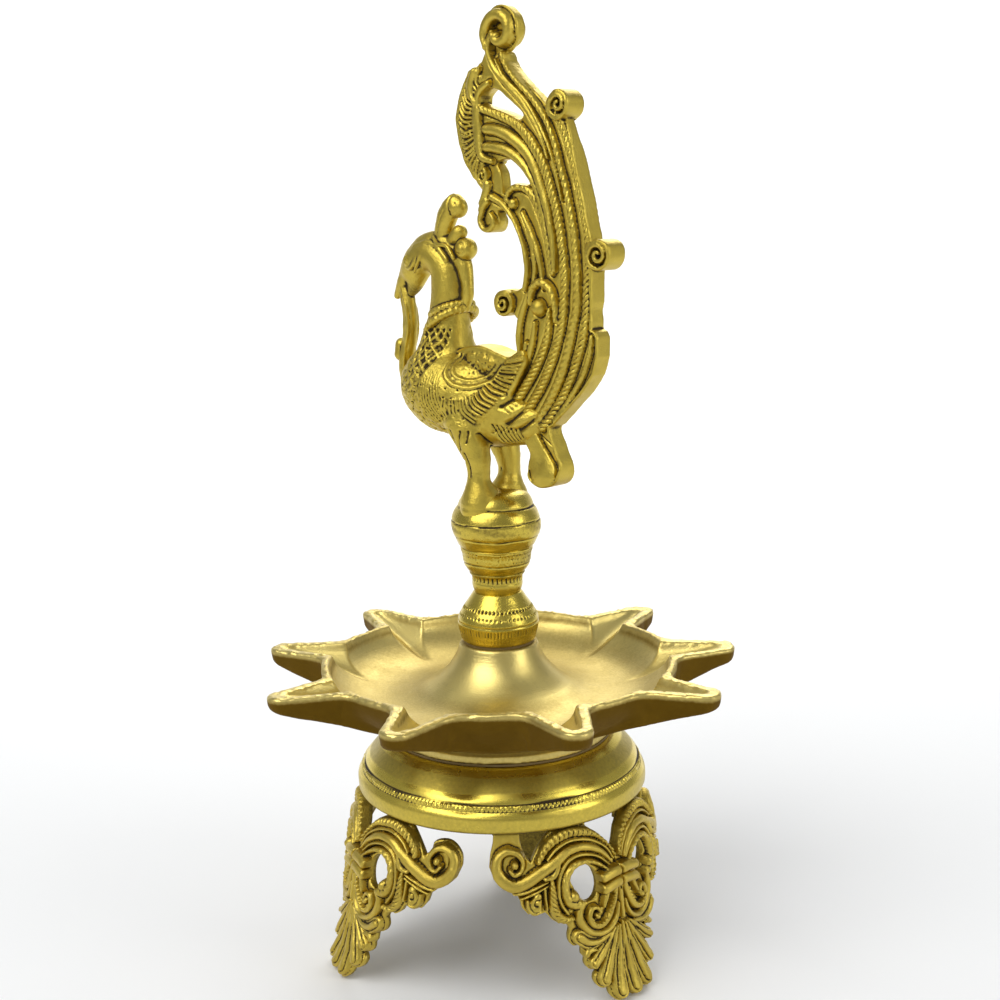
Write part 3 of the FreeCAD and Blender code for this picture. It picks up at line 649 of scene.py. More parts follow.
def draw_tail(step):
    """One face of the tail as a relief over the bird's plane: (relief, height, outline)."""
    tail = Relief((-13.5, 172.0), (60.5, 337.0), step)
    g = TAIL_GROUND
    rope = (2.1, 0.75, 0.9)

    def rib(points, half, crest, foot, **more):
        tail.rib(points, [0.9 * h for h in half], crest, foot, **more)

    # long strands, from the rear edge to the front
    rib([(35.6, 300.0), (39.4, 290.5), (42.8, 282.0), (45.2, 274.0), (47.2, 266.0), (48.4, 260.0),
         (48.6, 251.5), (47.8, 243.0), (47.2, 235.0), (45.8, 227.5), (42.4, 218.5), (37.6, 209.5),
         (31.8, 201.5), (27.0, 196.5)], [1.3, 1.7, 1.8, 1.8, 1.9], 3.9, g, notch=rope)
    rib([(7.5, 326.0), (5.6, 322.5), (6.4, 317.5), (11.2, 311.5), (18.4, 305.5), (24.0, 299.5),
         (28.6, 292.5), (32.0, 285.0)], [1.2, 1.5, 1.6, 1.4, 0.7], 4.0, g, fullness=0.45)
    rib([(11.6, 319.0), (14.8, 313.5), (20.6, 308.0), (26.6, 302.6), (31.4, 296.5), (34.8, 289.5),
         (36.8, 283.0), (39.2, 275.5), (41.0, 268.5), (42.4, 261.5), (43.0, 254.5), (43.6, 247.5),
         (43.4, 239.0), (41.6, 231.0), (39.0, 222.5), (34.8, 212.5), (29.8, 204.5), (24.5, 197.5)],
        [1.0, 1.3, 1.4, 1.6, 1.9, 2.0, 2.0, 1.8], 3.9, g, notch=(2.6, 0.4, 0.9))
    rib([(9.0, 317.5), (12.4, 312.0), (19.2, 306.4), (25.0, 300.4), (29.6, 293.6), (33.6, 286.0),
         (35.8, 279.0), (37.6, 271.5)], [0.5, 0.8, 0.9, 0.9, 0.8, 0.6], 3.7, g)
    rib([(-1.0, 302.6), (4.5, 301.2), (10.0, 299.4), (16.6, 296.8), (22.4, 292.2), (26.8, 287.0),
         (29.6, 282.5), (32.4, 275.5), (34.6, 269.5), (36.2, 263.0), (37.2, 256.5), (38.0, 249.5),
         (38.0, 242.5), (37.4, 237.0), (36.4, 231.0), (33.2, 222.0), (27.6, 211.5), (22.4, 204.5),
         (18.0, 199.0)], [1.6, 2.0, 2.1, 2.0, 1.9, 1.9, 2.0, 2.0, 1.9], 4.0, g, notch=(2.1, 0.7, 0.9))
    rib([(3.4, 295.2), (7.5, 294.8), (12.6, 293.2), (18.0, 290.2), (22.6, 286.2), (25.6, 281.6),
         (28.2, 275.8), (30.6, 269.5), (32.4, 262.5), (33.4, 256.0), (34.0, 249.0)],
        [2.0, 2.4, 2.3, 2.1, 1.9, 1.7, 1.0], 3.9, g)
    rib([(3.4, 289.4), (7.4, 289.0), (12.2, 288.0), (17.2, 285.6), (21.8, 281.6), (25.4, 277.0),
         (28.0, 271.0), (29.8, 264.5), (30.8, 258.0)],
        [1.9, 2.1, 2.0, 1.6, 1.3, 0.8], 3.8, g)
    rib([(15.0, 270.6), (12.6, 272.2), (14.6, 275.2), (19.0, 276.0), (24.0, 273.6), (27.4, 268.0),
         (30.2, 261.5), (31.8, 255.0), (32.8, 248.0)], [0.9, 1.3, 1.6, 1.8, 1.9, 1.8, 1.6, 1.2], 3.9, g,
        notch=(2.3, 0.35, 0.9))
    tail.boss(15.4, 270.6, 1.9, 4.2, g)
    rib([(19.6, 267.6), (23.2, 261.5), (26.4, 254.5), (28.2, 247.5), (28.6, 243.0)],
        [1.0, 1.5, 1.5, 1.2, 0.8], 3.7, g)
    rib([(5.6, 273.0), (10.4, 270.6), (14.6, 266.6), (18.0, 261.0), (20.6, 255.0), (21.4, 249.0),
         (20.4, 242.5)], [1.5, 1.5, 1.4, 1.4, 1.3], 3.9, g)
    rib([(22.2, 262.0), (24.2, 256.0), (25.0, 250.0), (24.4, 245.0)], [0.8, 1.3, 1.3, 0.9], 3.6, g)
    rib([(21.6, 240.5), (18.6, 234.0), (17.0, 227.0), (17.4, 221.0)], [1.2, 1.5, 1.5, 1.2], 3.9, g)
    rib([(23.0, 238.0), (24.0, 242.8), (27.6, 245.0), (31.6, 243.2), (34.0, 238.4), (34.6, 232.5)],
        [1.2, 1.7, 1.8, 1.8, 1.6, 1.2], 4.6, g, notch=(2.4, 0.35, 0.5))
    tail.boss(26.6, 236.6, 3.1, 5.3, g)
    rib([(24.6, 231.5), (23.4, 226.0), (21.0, 219.5), (17.0, 213.0)], [1.0, 1.5, 1.6, 1.4], 3.7, g)
    rib([(31.2, 236.0), (30.4, 228.0), (26.0, 218.8), (20.0, 210.5), (13.8, 203.0), (10.0, 199.0)],
        [1.0, 1.9, 2.0, 2.0, 1.8], 4.0, g, notch=rope)
    rib([(20.4, 224.5), (18.6, 216.5), (14.0, 209.5), (8.5, 203.5)], [1.0, 1.6, 1.6, 1.4], 3.7, g)
    # beaded strip along the fin at the rear
    rib([(49.4, 228.0), (48.6, 222.5), (45.4, 215.0), (39.6, 207.0), (33.0, 199.5)], [1.0, 1.3, 1.3, 1.0],
        3.5, g, notch=(1.1, 0.3, 0.0))
    # the leaf at the front of the crown, a fan of curved barbs between a rim and a stem
    outer = curve([(0.5, 315.0), (-4.2, 312.6), (-7.6, 306.5), (-9.6, 299.5), (-8.6, 291.5), (-6.8, 286.0),
                   (-2.4, 280.2)])
    inner = curve([(3.4, 312.0), (-0.2, 308.4), (-1.2, 303.4), (-2.8, 297.5), (-1.8, 291.2), (-1.0, 286.0),
                   (1.6, 283.0)])
    leaf = tail.area([(1.5, 312.5), (-2.4, 315.6), (-8.6, 307.5), (-11.0, 299.5), (-9.6, 291.0),
                      (-7.5, 285.5), (-3.0, 279.0), (2.0, 283.0), (-0.5, 292.0), (-1.5, 300.0),
                      (-0.4, 306.0)])
    barbs = 20
    for i in range(barbs):
        t = i / (barbs - 1.0)
        a = inner[int((0.14 + 0.78 * t) * (len(inner) - 1))]
        b = outer[int(t * (len(outer) - 1))]
        middle = (a + b) / 2 + np.array([-0.6 + 0.9 * t, -1.2 + 0.7 * t])
        rib([a + (0.4, 0.0), middle, b + (0.9, 0.3)], [0.5, 0.62, 0.5], [3.7, 3.95, 3.5], 3.2)
    rib([(5.2, 310.0), (1.8, 308.0), (-0.2, 304.4), (-0.6, 298.4), (0.0, 292.0), (1.4, 286.4), (6.2, 284.6)],
        [1.4, 1.7, 1.9, 2.4, 2.2, 1.6, 1.2], 3.9, g, fullness=0.35)
    rib([(-0.8, 314.0), (-2.6, 310.6), (-2.4, 306.8), (-0.8, 304.0)], [1.9, 2.5, 2.1, 1.3], 4.6, g)
    rib(spiral((1.8, 280.0), 2.5, 0.5, 60, -1.3, 16), [1.0, 0.8, 0.7], 4.2, g)
    rib([(3.6, 277.0), (2.4, 273.6), (0.6, 271.0)], [2.0, 1.9, 1.6], 3.9, g)
    # rolled ends
    rib(spiral((10.6, 326.0), 7.4, 2.6, 212, -1.02, 30), [2.1, 2.3, 2.4, 2.2, 1.7], 4.6, 1.2, fullness=0.35)
    tail.boss(9.6, 324.6, 1.7, 4.5, 1.2)
    for x, y, radius, start, turns in ((37.3, 301.6, 4.3, 200, -1.3), (53.5, 254.2, 4.6, 180, -1.4),
                                       (10.8, 237.6, 4.0, 60, 1.3)):
        rib(spiral((x, y), radius - 0.7, 0.7, start, turns, 24), [0.9, 0.95, 0.9, 0.7], 4.7, 3.6,
            fullness=0.4)
    rib([(3.0, 271.5), (0.6, 268.8), (-0.4, 265.0), (1.6, 261.8), (5.0, 262.2), (6.4, 265.0), (5.0, 267.2)],
        [1.6, 1.6, 1.6, 1.7, 1.6, 1.3, 1.0], 3.9, 2.4, fullness=0.4)
    # hoof-like stub under the tail root, with a few scratched lines
    rib([(21.0, 192.5), (24.5, 187.5), (28.0, 181.5)], [4.8, 4.9, 6.4], 3.9, 2.6, fullness=0.3)
    for k in range(5):
        tail.groove([(22.0 + 2.4 * k, 196.5 - 1.5 * k), (26.5 + 2.0 * k, 193.5 - 1.2 * k)], 0.35, 0.6)

    shape = tail.area([(28.0, 195.8), (32.5, 197.5), (39.0, 203.5), (45.5, 209.5), (50.5, 215.5),
                       (52.4, 221.5), (52.5, 227.8), (51.6, 229.6), (49.8, 230.4), (50.2, 243.0),
                       (50.4, 252.0), (49.5, 260.5), (47.5, 268.0), (46.0, 275.0), (43.2, 284.5),
                       (41.0, 291.5), (39.0, 297.0), (36.0, 300.0), (31.0, 301.5), (24.5, 306.8),
                       (16.5, 313.2), (13.6, 316.5), (12.4, 320.0), (4.5, 322.5), (2.4, 319.0), (1.4, 317.2),
                       (-4.5, 314.5), (-8.6, 307.5), (-11.0, 299.5), (-9.6, 291.0), (-7.5, 285.5),
                       (-3.2, 279.5), (0.6, 274.8), (-1.0, 268.0), (4.0, 268.8), (8.0, 268.2), (11.2, 269.0),
                       (15.2, 265.2), (18.0, 260.8), (19.8, 256.5), (20.7, 249.0), (19.2, 242.0),
                       (17.2, 234.5), (15.6, 227.0), (15.4, 221.5), (11.5, 216.0), (3.0, 212.0),
                       (-2.0, 205.0), (2.0, 197.0), (12.0, 191.5), (20.0, 191.0)], smooth=False)
    for x, y, radius in ((10.2, 326.8, 7.8), (37.2, 301.6, 4.6), (53.5, 254.2, 5.0), (3.6, 265.6, 4.6),
                         (10.8, 237.6, 4.4), (27.4, 183.5, 6.2)):
        shape = smooth_min(shape, np.hypot(tail.x - x, tail.y - y) - radius, 0.8)
    link = tail.area([(10.8, 241.9), (16.0, 242.0), (20.5, 243.5), (19.5, 233.0), (15.5, 232.6),
                      (13.2, 237.0)])
    stub = tail.area([(19.0, 194.0), (22.0, 186.5), (21.0, 179.5), (24.0, 176.8), (30.0, 176.2),
                      (34.2, 178.6), (36.0, 184.0), (33.5, 189.5), (31.0, 194.5), (30.0, 198.0)])
    shape = smooth_min(smooth_min(shape, link, 0.8), stub, 1.0)
    for eye in OPEN_EYES:
        shape = smooth_max(shape, -tail.area(eye), 0.5)
    roll = ramp(np.hypot(tail.x - 10.2, tail.y - 325.0), 7.4, 6.0)
    top = tail.height(2.35 + 0.85 * ramp(leaf, 0.6, -0.4) - 1.3 * roll, 0.7 - 0.3 * ramp(leaf, 0.6, -0.4))
    # the rolls are plain round edges wider than the slab
    for x, y, radius, width in ((37.2, 301.6, 4.6, 4.4), (53.5, 254.2, 5.0, 4.4), (10.8, 237.6, 4.4, 4.3)):
        ring = np.hypot(tail.x - x, tail.y - y)
        inside = ring < radius + 0.4
        top = np.where(inside & (ring > radius - 1.3), np.maximum(top, width), top)
    rear = ramp(shape, -1.4, -0.5) * ramp(tail.x - 0.25 * (tail.y - 200), 14, 24)
    top = np.maximum(top, 3.6 * rear + top * (1 - rear))
    top = top + 1.0 * ramp(tail.y, 186, 179) * ramp(tail.x, 16, 22)
    return tail, top, shape


def make_tail():
    step = 0.385
    tail, top, shape = draw_tail(step)
    near = top + rumple(top.shape, 9, 0.10) + rumple(top.shape, 2.4, 0.03)
    far = -(top + rumple(top.shape, 9, 0.10) + rumple(top.shape, 2.4, 0.03))
    shape = shape + rumple(shape.shape, 9, 0.10)
    low_w = -6.3
    w = low_w + step * np.arange(int(12.6 / step) + 1)
    field = plate(shape, near, far, w[None, None, :], step, 0.8)
    low = (tail.low[0], tail.low[1], low_w)
    points, quads = skin(field, low, step)
    points = soften(points, quads, 1)
    fine, broad = hollows(points, quads)
    patina_and_shade = np.clip(fine / 0.10, 0, 1) * 0.65 + np.clip((broad + 0.02) / 0.42, 0, 1) * 0.8
    piece("peacock_tail_cast", on_lamp(points), quads, "stem", ["peacock_tail"], cast_brass,
          patina_and_shade)


class Clay:
    """A field on a grid of (u, v, w) that round bars and plates are added to."""

    def __init__(self, low, high, step):
        self.low, self.step = low, step
        self.axes = [a + step * np.arange(int(round((b - a) / step)) + 1) for a, b in zip(low, high)]
        self.u, self.v, self.w = np.meshgrid(*self.axes, indexing="ij", sparse=True)
        self.field = np.full([len(a) for a in self.axes], 6.0)

    def spot(self, low, high):
        """The part of the grid between two corners."""
        span = []
        for k in range(3):
            first = int((low[k] - self.low[k]) / self.step)
            last = int((high[k] - self.low[k]) / self.step) + 2
            span.append(slice(min(max(first, 0), len(self.axes[k])), min(max(last, 0), len(self.axes[k]))))
        return tuple(span)

    def bar(self, points, blend=0.8, closed=False, step=1.2, both=False, flat=1.0):
        """Joins a round bar through (u, v, w, radius) points. flat below 1 thins it across the bird's plane,
        and both adds its mirror image on the far side."""
        path = curve(points, step, closed)
        margin = 3.0
        reach = path[:, 3].max() + margin
        box = self.spot(path[:, :3].min(0) - reach, path[:, :3].max(0) + reach)
        part = np.full(self.field[box].shape, 6.0)
        for a, b in zip(path, path[1:]):
            span = b[:3] - a[:3]
            length = span @ span
            if length < 1e-9:
                continue
            reach = max(a[3], b[3]) + margin
            spot = self.spot(np.minimum(a, b)[:3] - reach, np.maximum(a, b)[:3] + reach)
            inner = tuple(slice(s.start - o.start, s.stop - o.start) for s, o in zip(spot, box))
            inner = tuple(slice(max(s.start, 0), min(s.stop, n)) for s, n in zip(inner, part.shape))
            spot = tuple(slice(s.start + o.start, s.stop + o.start) for s, o in zip(inner, box))
            x, y = self.u[spot[0]] - a[0], self.v[:, spot[1]] - a[1]
            z = (self.w[:, :, spot[2]] - a[2]) / flat
            t = np.clip((x * span[0] + y * span[1] + z * span[2]) / length, 0, 1)
            d = np.sqrt((x - t * span[0]) ** 2 + (y - t * span[1]) ** 2 + (z - t * span[2]) ** 2)
            d = d - a[3] - (b[3] - a[3]) * t
            part[inner] = np.minimum(part[inner], d * flat if flat < 1 else d)
        self.field[box] = smooth_min(self.field[box], part, blend)
        if both:
            self.bar([(u, v, -w, r) for u, v, w, r in points], blend, closed, step, False, flat)

    def scratch(self, points, half, depth, beyond):
        """Cuts a line into both sides, where w is beyond a distance from the bird's plane."""
        path = curve(points, 0.8)
        box = self.spot((*(path.min(0) - 2), self.low[2]), (*(path.max(0) + 2), -self.low[2]))
        x, y = self.u[box[0]], self.v[:, box[1]]
        near = np.full(np.broadcast(x, y).shape, 9.0)
        for a, b in zip(path, path[1:]):
            span = b - a
            t = np.clip(((x - a[0]) * span[0] + (y - a[1]) * span[1]) / max(span @ span, 1e-9), 0, 1)
            near = np.minimum(near, np.hypot(x - a[0] - t * span[0], y - a[1] - t * span[1]))
        cut = depth * np.exp(-(near / half) ** 2) * ramp(np.abs(self.w), beyond - 0.6, beyond + 0.6)
        self.field[box] = self.field[box] + cut

    def ball(self, u, v, w, radius, blend=0.6):
        self.bar([(u, v, w, radius), (u + 0.05, v, w, radius)], blend)


# the torso's radius along its axis, from the breast to the rear, and where that axis starts and ends
TORSO = np.array([(0.0, 0.5), (3.0, 7.0), (9.0, 12.2), (19.0, 15.4), (29.0, 15.0), (40.0, 12.0), (50.0, 8.4),
                  (56.0, 5.6), (59.0, 2.0)])
TORSO_FROM, TORSO_TO = np.array((-41.0, 210.0)), np.array((17.0, 199.0))
# the radius that stands for no torso, before its start and past its end
OFF_TORSO = -8.0


def torso_section(u, v):
    """For a place in the bird's plane: its distance from the torso's axis, and the torso's radius there."""
    axis = (TORSO_TO - TORSO_FROM) / np.linalg.norm(TORSO_TO - TORSO_FROM)
    s = (u - TORSO_FROM[0]) * axis[0] + (v - TORSO_FROM[1]) * axis[1]
    d = (u - TORSO_FROM[0]) * axis[1] - (v - TORSO_FROM[1]) * axis[0]
    fine = curve(TORSO, 0.5)
    return d, np.interp(s, fine[:, 0], fine[:, 1], left=OFF_TORSO, right=OFF_TORSO)


def draw_wing(step):
    """The wing's feathers, as a relief over the torso: (relief, height, outline)."""
    wing = Relief((-26.0, 186.0), (34.0, 228.0), step)
    rib = wing.rib
    # thick barbs at the rear, thinner ones further forward
    inner = curve([(-8.6, 204.8), (-4.6, 204.9), (-2.0, 205.0), (0.5, 205.6), (2.8, 206.8), (4.6, 208.6),
                   (6.2, 211.4), (8.6, 213.6), (10.8, 216.0), (13.4, 218.4)])
    outer = curve([(-7.0, 195.6), (-4.0, 195.8), (-0.6, 196.2), (2.6, 197.4), (6.4, 200.4), (9.6, 203.2),
                   (12.0, 206.2), (14.8, 210.2), (18.0, 214.8), (22.4, 220.6)])
    barbs = 23
    for i in range(barbs):
        t = i / (barbs - 1.0)
        start = inner[int(round(t * (len(inner) - 1)))]
        finish = outer[int(round(t * (len(outer) - 1)))]
        thick = ramp(t, 0.30, 0.44)
        bend = np.array([-1.5 + 1.7 * t, -0.9 + 1.0 * t])
        rib([start, (start + finish) / 2 + bend, finish], [0.42, 0.5 + 0.25 * thick, 0.5 + 0.25 * thick],
            0.45 + 0.40 * thick, -0.45 - 0.35 * thick, fullness=0.7)
    # long lines that sweep round the shoulder
    near = np.array([(-9.0, 219.2), (-11.0, 215.4), (-11.2, 210.6), (-10.2, 205.0), (-7.2, 197.8)])
    far = np.array([(-13.4, 219.2), (-17.6, 213.6), (-18.9, 208.6), (-18.6, 202.4), (-14.4, 195.8)])
    for i in range(8):
        t = i / 7.0
        rib(near + (far - near) * t, [0.4, 0.62, 0.62, 0.6, 0.4], 0.40, -0.50)
    rib([(-9.6, 219.4), (-10.0, 216.4), (-9.0, 213.0), (-6.4, 210.6), (-3.0, 209.4), (0.9, 209.1),
         (4.6, 210.4), (8.4, 213.0), (11.0, 216.0)], [0.5, 0.7, 0.8, 0.8, 0.8, 0.7, 0.5], 0.70, -0.45)
    rib([(-7.6, 219.6), (-8.2, 216.6), (-7.0, 213.8), (-4.0, 212.0), (0.2, 211.3), (4.0, 212.6),
         (7.4, 215.0)], [0.4, 0.5, 0.5, 0.4], 0.45, -0.45)
    disc = wing.area([(-6.8, 217.6), (-5.6, 215.0), (-3.2, 213.4), (0.2, 212.8), (3.4, 213.8), (6.4, 215.6),
                      (9.0, 218.0), (5.4, 220.2), (-0.6, 221.2), (-5.2, 220.2)])
    shape = wing.area([(-20.0, 209.5), (-18.4, 214.6), (-14.4, 219.0), (-6.0, 222.4), (2.0, 222.6),
                       (8.0, 221.0), (13.6, 219.8), (17.6, 221.6), (20.8, 222.4), (22.2, 219.6),
                       (20.0, 215.0), (17.2, 210.4), (14.4, 206.4), (11.6, 202.8), (8.2, 199.6),
                       (4.0, 196.6), (-1.0, 194.8), (-7.0, 194.0), (-14.0, 194.2), (-18.0, 198.4),
                       (-20.0, 203.6)])
    height = np.maximum(wing.height(-0.1, 0.55), 0.95 * ramp(disc, 0.4, -2.2) - 0.1)
    stipple = np.maximum(rumple(height.shape, 1.5, 0.16), -0.25)
    return wing, height + stipple * ramp(disc, 0.5, -1.0), shape


def make_body():
    step = 0.37
    clay = Clay((-50.5, 163.0, -17.6), (30.5, 277.0, 17.6), step)
    u, v, w = clay.u, clay.v, clay.w
    d, radius = torso_section(u, v)
    reach = np.sqrt(d * d + w * w)
    clay.field = np.minimum(clay.field, (reach - radius) * 0.92)
    bar, ball = clay.bar, clay.ball
    bar([(-21.5, 212.0, 0, 11.4), (-21.2, 219.0, 0, 10.0), (-20.6, 226.0, 0, 8.4), (-19.6, 232.0, 0, 7.3),
         (-19.0, 238.0, 0, 6.9), (-18.8, 243.0, 0, 6.7), (-19.9, 248.6, 0, 6.4), (-24.2, 252.6, 0, 6.1),
         (-30.0, 253.2, 0, 6.0), (-34.5, 250.6, 0, 5.8), (-37.0, 247.6, 0, 4.8)], 4.0)
    # the back runs smoothly into the tail's root, and the belly hangs below it
    bar([(2.0, 204.0, 0, 8.0), (14.0, 200.0, 0, 6.6), (22.0, 198.0, 0, 4.8)], 3.0)
    bar([(-4.0, 197.0, 0, 10.0), (4.0, 196.0, 0, 8.4), (12.0, 195.0, 0, 6.4), (20.0, 194.6, 0, 4.8)], 3.0)
    # thighs, shins and the spreading feet
    for side in (1, -1):
        bar([(-6.0, 197.0, side * 7.0, 7.4), (-2.2, 190.6, side * 7.2, 6.2), (0.2, 184.6, side * 7.4, 4.8),
             (1.0, 179.4, side * 7.6, 4.0), (1.0, 175.6, side * 7.6, 4.2), (1.0, 171.8, side * 7.2, 5.6),
             (1.0, 168.6, side * 6.6, 7.2), (1.0, 166.8, side * 6.4, 7.8)], 1.2)
    # strap down the back of the neck, and the hood of the head
    bar([(-11.0, 236.6, 0, 2.0), (-10.2, 240.0, 0, 2.2), (-10.2, 244.6, 0, 2.4), (-11.8, 250.4, 0, 3.0),
         (-17.6, 255.8, 0, 3.5), (-24.4, 258.2, 0, 3.4), (-31.5, 257.2, 0, 3.2), (-37.4, 252.4, 0, 2.9),
         (-41.4, 246.8, 0, 2.3)], 1.3)
    bar([(-16.0, 252.0, 4.2, 0.7), (-20.6, 256.0, 3.8, 0.8), (-26.0, 257.8, 3.6, 0.8),
         (-32.5, 256.4, 3.8, 0.8)], 0.5, both=True)
    # crest
    bar([(-22.0, 258.6, 0, 3.3), (-20.8, 263.2, 0, 3.8), (-18.0, 268.2, 0, 3.9), (-15.2, 270.6, 0, 3.8)],
        0.4, flat=0.85)
    bar([(-15.0, 270.6, 0, 3.6), (-13.9, 269.6, 0, 3.7)], 0.25, flat=0.9)
    bar([(-17.2, 257.0, 0, 2.6), (-14.6, 259.6, 0, 2.8), (-13.2, 261.0, 0, 2.7)], 0.25)
    ball(-10.2, 255.4, 0, 3.95, 0.3)
    bar([(-23.6, 259.4, 3.0, 0.7), (-20.6, 257.2, 4.0, 0.8), (-16.0, 256.6, 4.0, 0.8),
         (-12.6, 252.4, 4.0, 0.7)], 0.3, both=True)
    # beak, a little open, and the eyes
    bar([(-37.6, 249.0, 0, 4.2), (-41.6, 244.8, 0, 3.1), (-45.0, 240.8, 0, 2.1), (-46.8, 238.4, 0, 1.4)], 1.2)
    bar([(-34.6, 247.0, 0, 3.8), (-36.6, 243.2, 0, 3.0), (-38.8, 240.0, 0, 1.7)], 1.0)
    for side in (1, -1):
        bar([(-34.8 + 1.7 * math.cos(a), 251.4 + 1.5 * math.sin(a), side * (5.3 - 0.12 * math.cos(a)), 0.5)
             for a in np.linspace(0, 2 * math.pi, 9)[:-1]], 0.2, closed=True, step=0.6)
        ball(-34.8, 251.4, side * 5.2, 1.0, 0.2)
        bar([(-30.0, 255.6, side * 4.6, 0.6), (-30.6, 251.6, side * 5.7, 0.7),
             (-33.6, 248.6, side * 5.5, 0.7), (-37.6, 249.2, side * 4.2, 0.6),
             (-40.4, 246.4, side * 3.0, 0.5)], 0.3)
        bar([(-28.0, 256.6, side * 4.2, 0.5), (-28.2, 252.4, side * 5.9, 0.6),
             (-31.6, 247.4, side * 5.2, 0.6)], 0.3)
    # garland from the beak down to the breast
    bar([(-43.4, 243.6, 0, 2.2), (-41.4, 239.0, 0, 2.4), (-40.3, 233.0, 0, 2.5), (-40.2, 227.0, 0, 2.5),
         (-41.4, 221.0, 0, 2.6), (-43.2, 215.0, 0, 2.7), (-43.4, 209.6, 0, 2.7), (-42.0, 205.6, 0, 2.4)], 0.6)
    bar([(-45.4, 220.6, 0, 2.5), (-45.6, 217.2, 0, 2.7)], 0.3)
    bar([(-42.6, 241.8, 1.9, 0.55), (-39.6, 233.5, 2.3, 0.6), (-39.2, 226.5, 2.4, 0.6),
         (-41.2, 219.0, 2.4, 0.6), (-42.6, 210.0, 2.4, 0.6)], 0.2, both=True)
    bar([(-44.0, 240.6, 1.5, 0.5), (-41.9, 233.0, 1.7, 0.55), (-41.8, 226.5, 1.7, 0.55),
         (-43.4, 219.0, 1.7, 0.5)], 0.2, both=True)
    # two twisted ropes round the foot of the neck
    for centre, big, thick, lean in (((-18.3, 234.3), 7.3, 1.2, 20), ((-18.6, 230.6), 8.9, 1.35, 30)):
        lean, twists = math.radians(lean), 28
        turns = np.linspace(0, 2 * math.pi, 5 * twists + 1)[:-1]
        rope = [(centre[0] + big * math.cos(a) * math.cos(lean),
                 centre[1] + big * math.cos(a) * math.sin(lean),
                 big * math.sin(a), thick + 0.26 * math.cos(twists * a)) for a in turns]
        bar(rope, 0.25, closed=True, step=0.9)
    # scale net on the breast and the foot of the neck
    centre = np.interp(v, [185, 200, 215, 222, 230], [-14, -20, -20, -20, -19])
    around = np.arctan2(w, -(u - centre)) * 10.5
    front = np.interp(v, [182, 190, 196, 204, 210, 215, 222, 230],
                      [-9, -12, -15, -19, -20, -16.5, -14.0, -13.0])
    clear = np.interp(v, [200, 210, 217, 222], [-46.0, -43.0, -38.5, -37.5])
    net = np.zeros(clay.field.shape)
    uneven = rumple(clay.field.shape, 13.0, 0.22)
    for slant in (1, -1):
        phase = around / 4.1 + slant * v / 4.3 + uneven
        net = np.maximum(net, np.exp(-(np.abs(phase - np.round(phase)) / 0.17) ** 2))
    mask = ramp(front - u, -0.3, 1.2) * ramp(v, 229.0, 227.6) * ramp(v, 183.0, 187.0)
    mask = mask * ramp(u, clear, clear + 2.0)
    fade = 0.30 + 0.60 * ramp(v, 200, 216)
    pocks = ramp(rumple(net.shape, 2.4, 1.0), 0.6, 1.3)
    clay.field = clay.field - mask * fade * (0.85 * net - 0.42) + 0.5 * mask * pocks
    # wing on each side, over the torso and on to the face of the tail
    wing, feather, shape = draw_wing(step)
    d, radius = torso_section(wing.x, wing.y)
    swell = np.sqrt(np.maximum(radius * np.abs(radius) - d * d, 0))
    top = smooth_max(swell + 0.9, 5.1, 5.0) + feather
    box = clay.spot((wing.low[0], wing.low[1], -17.6), (wing.x[-1, 0], wing.y[0, -1], 17.6))
    axis_u, axis_v = clay.axes[0][box[0]], clay.axes[1][box[1]]
    pick_u = np.clip(np.round((axis_u - wing.low[0]) / step).astype(int), 0, wing.x.shape[0] - 1)
    pick_v = np.clip(np.round((axis_v - wing.low[1]) / step).astype(int), 0, wing.x.shape[1] - 1)
    top, shape = top[np.ix_(pick_u, pick_v)], shape[np.ix_(pick_u, pick_v)]
    gx, gy = np.gradient(top, step)
    slope = np.sqrt(1 + np.minimum(gx * gx + gy * gy, 4))[..., None]
    slab = smooth_max((np.abs(clay.w) - top[..., None]) / slope, shape[..., None], 1.2)
    clay.field[box] = smooth_min(clay.field[box], slab, 0.5)
    # the lower ends of the tail's strands, and cuts where they start and on the thighs and shins
    strands = ([(24.0, 213.4), (18.6, 208.4), (12.2, 203.0)],
               [(29.6, 212.0), (23.6, 205.4), (16.6, 198.8), (14.0, 197.0)],
               [(35.0, 209.4), (28.4, 202.8), (21.6, 197.0), (19.6, 195.6)])
    for path in strands:
        clay.scratch(path, 0.75, 1.25, 3.0)
    for k in range(9):
        start = (13.2 + 1.15 * k, 204.6 + 1.1 * k - 2.6)
        finish = (15.0 + 1.15 * k, 204.6 + 1.1 * k - 3.6)
        clay.scratch([start, finish], 0.30, 0.35, 3.0)
    for k in range(7):
        clay.scratch([(8.6 + 1.7 * k, 196.4 - 0.2 * k), (10.6 + 1.7 * k, 190.6 - 0.2 * k)], 0.42, 0.75, 3.5)
    for k in range(4):
        clay.scratch([(8.0 + 2.8 * k, 193.4 + 0.3 * k), (10.4 + 2.8 * k, 195.0 + 0.3 * k)], 0.35, 0.5, 3.5)
    thigh_cuts = ([(-1.9, 193.8), (-2.8, 190.6), (-2.9, 187.3)], [(2.9, 193.0), (3.8, 191.2), (4.8, 189.6)],
                  [(0.6, 193.8), (0.4, 190.0)], [(-2.3, 183.4), (-4.2, 180.6), (-6.1, 177.5)],
                  [(-6.6, 193.8), (-5.6, 189.8)], [(-13.6, 193.0), (-12.4, 190.0), (-10.0, 187.4)],
                  [(-10.6, 193.6), (-8.4, 190.0)], [(-1.0, 186.0), (0.6, 182.0), (0.8, 178.0)])
    for path in thigh_cuts:
        clay.scratch(path, 0.5, 0.8, 4.0)
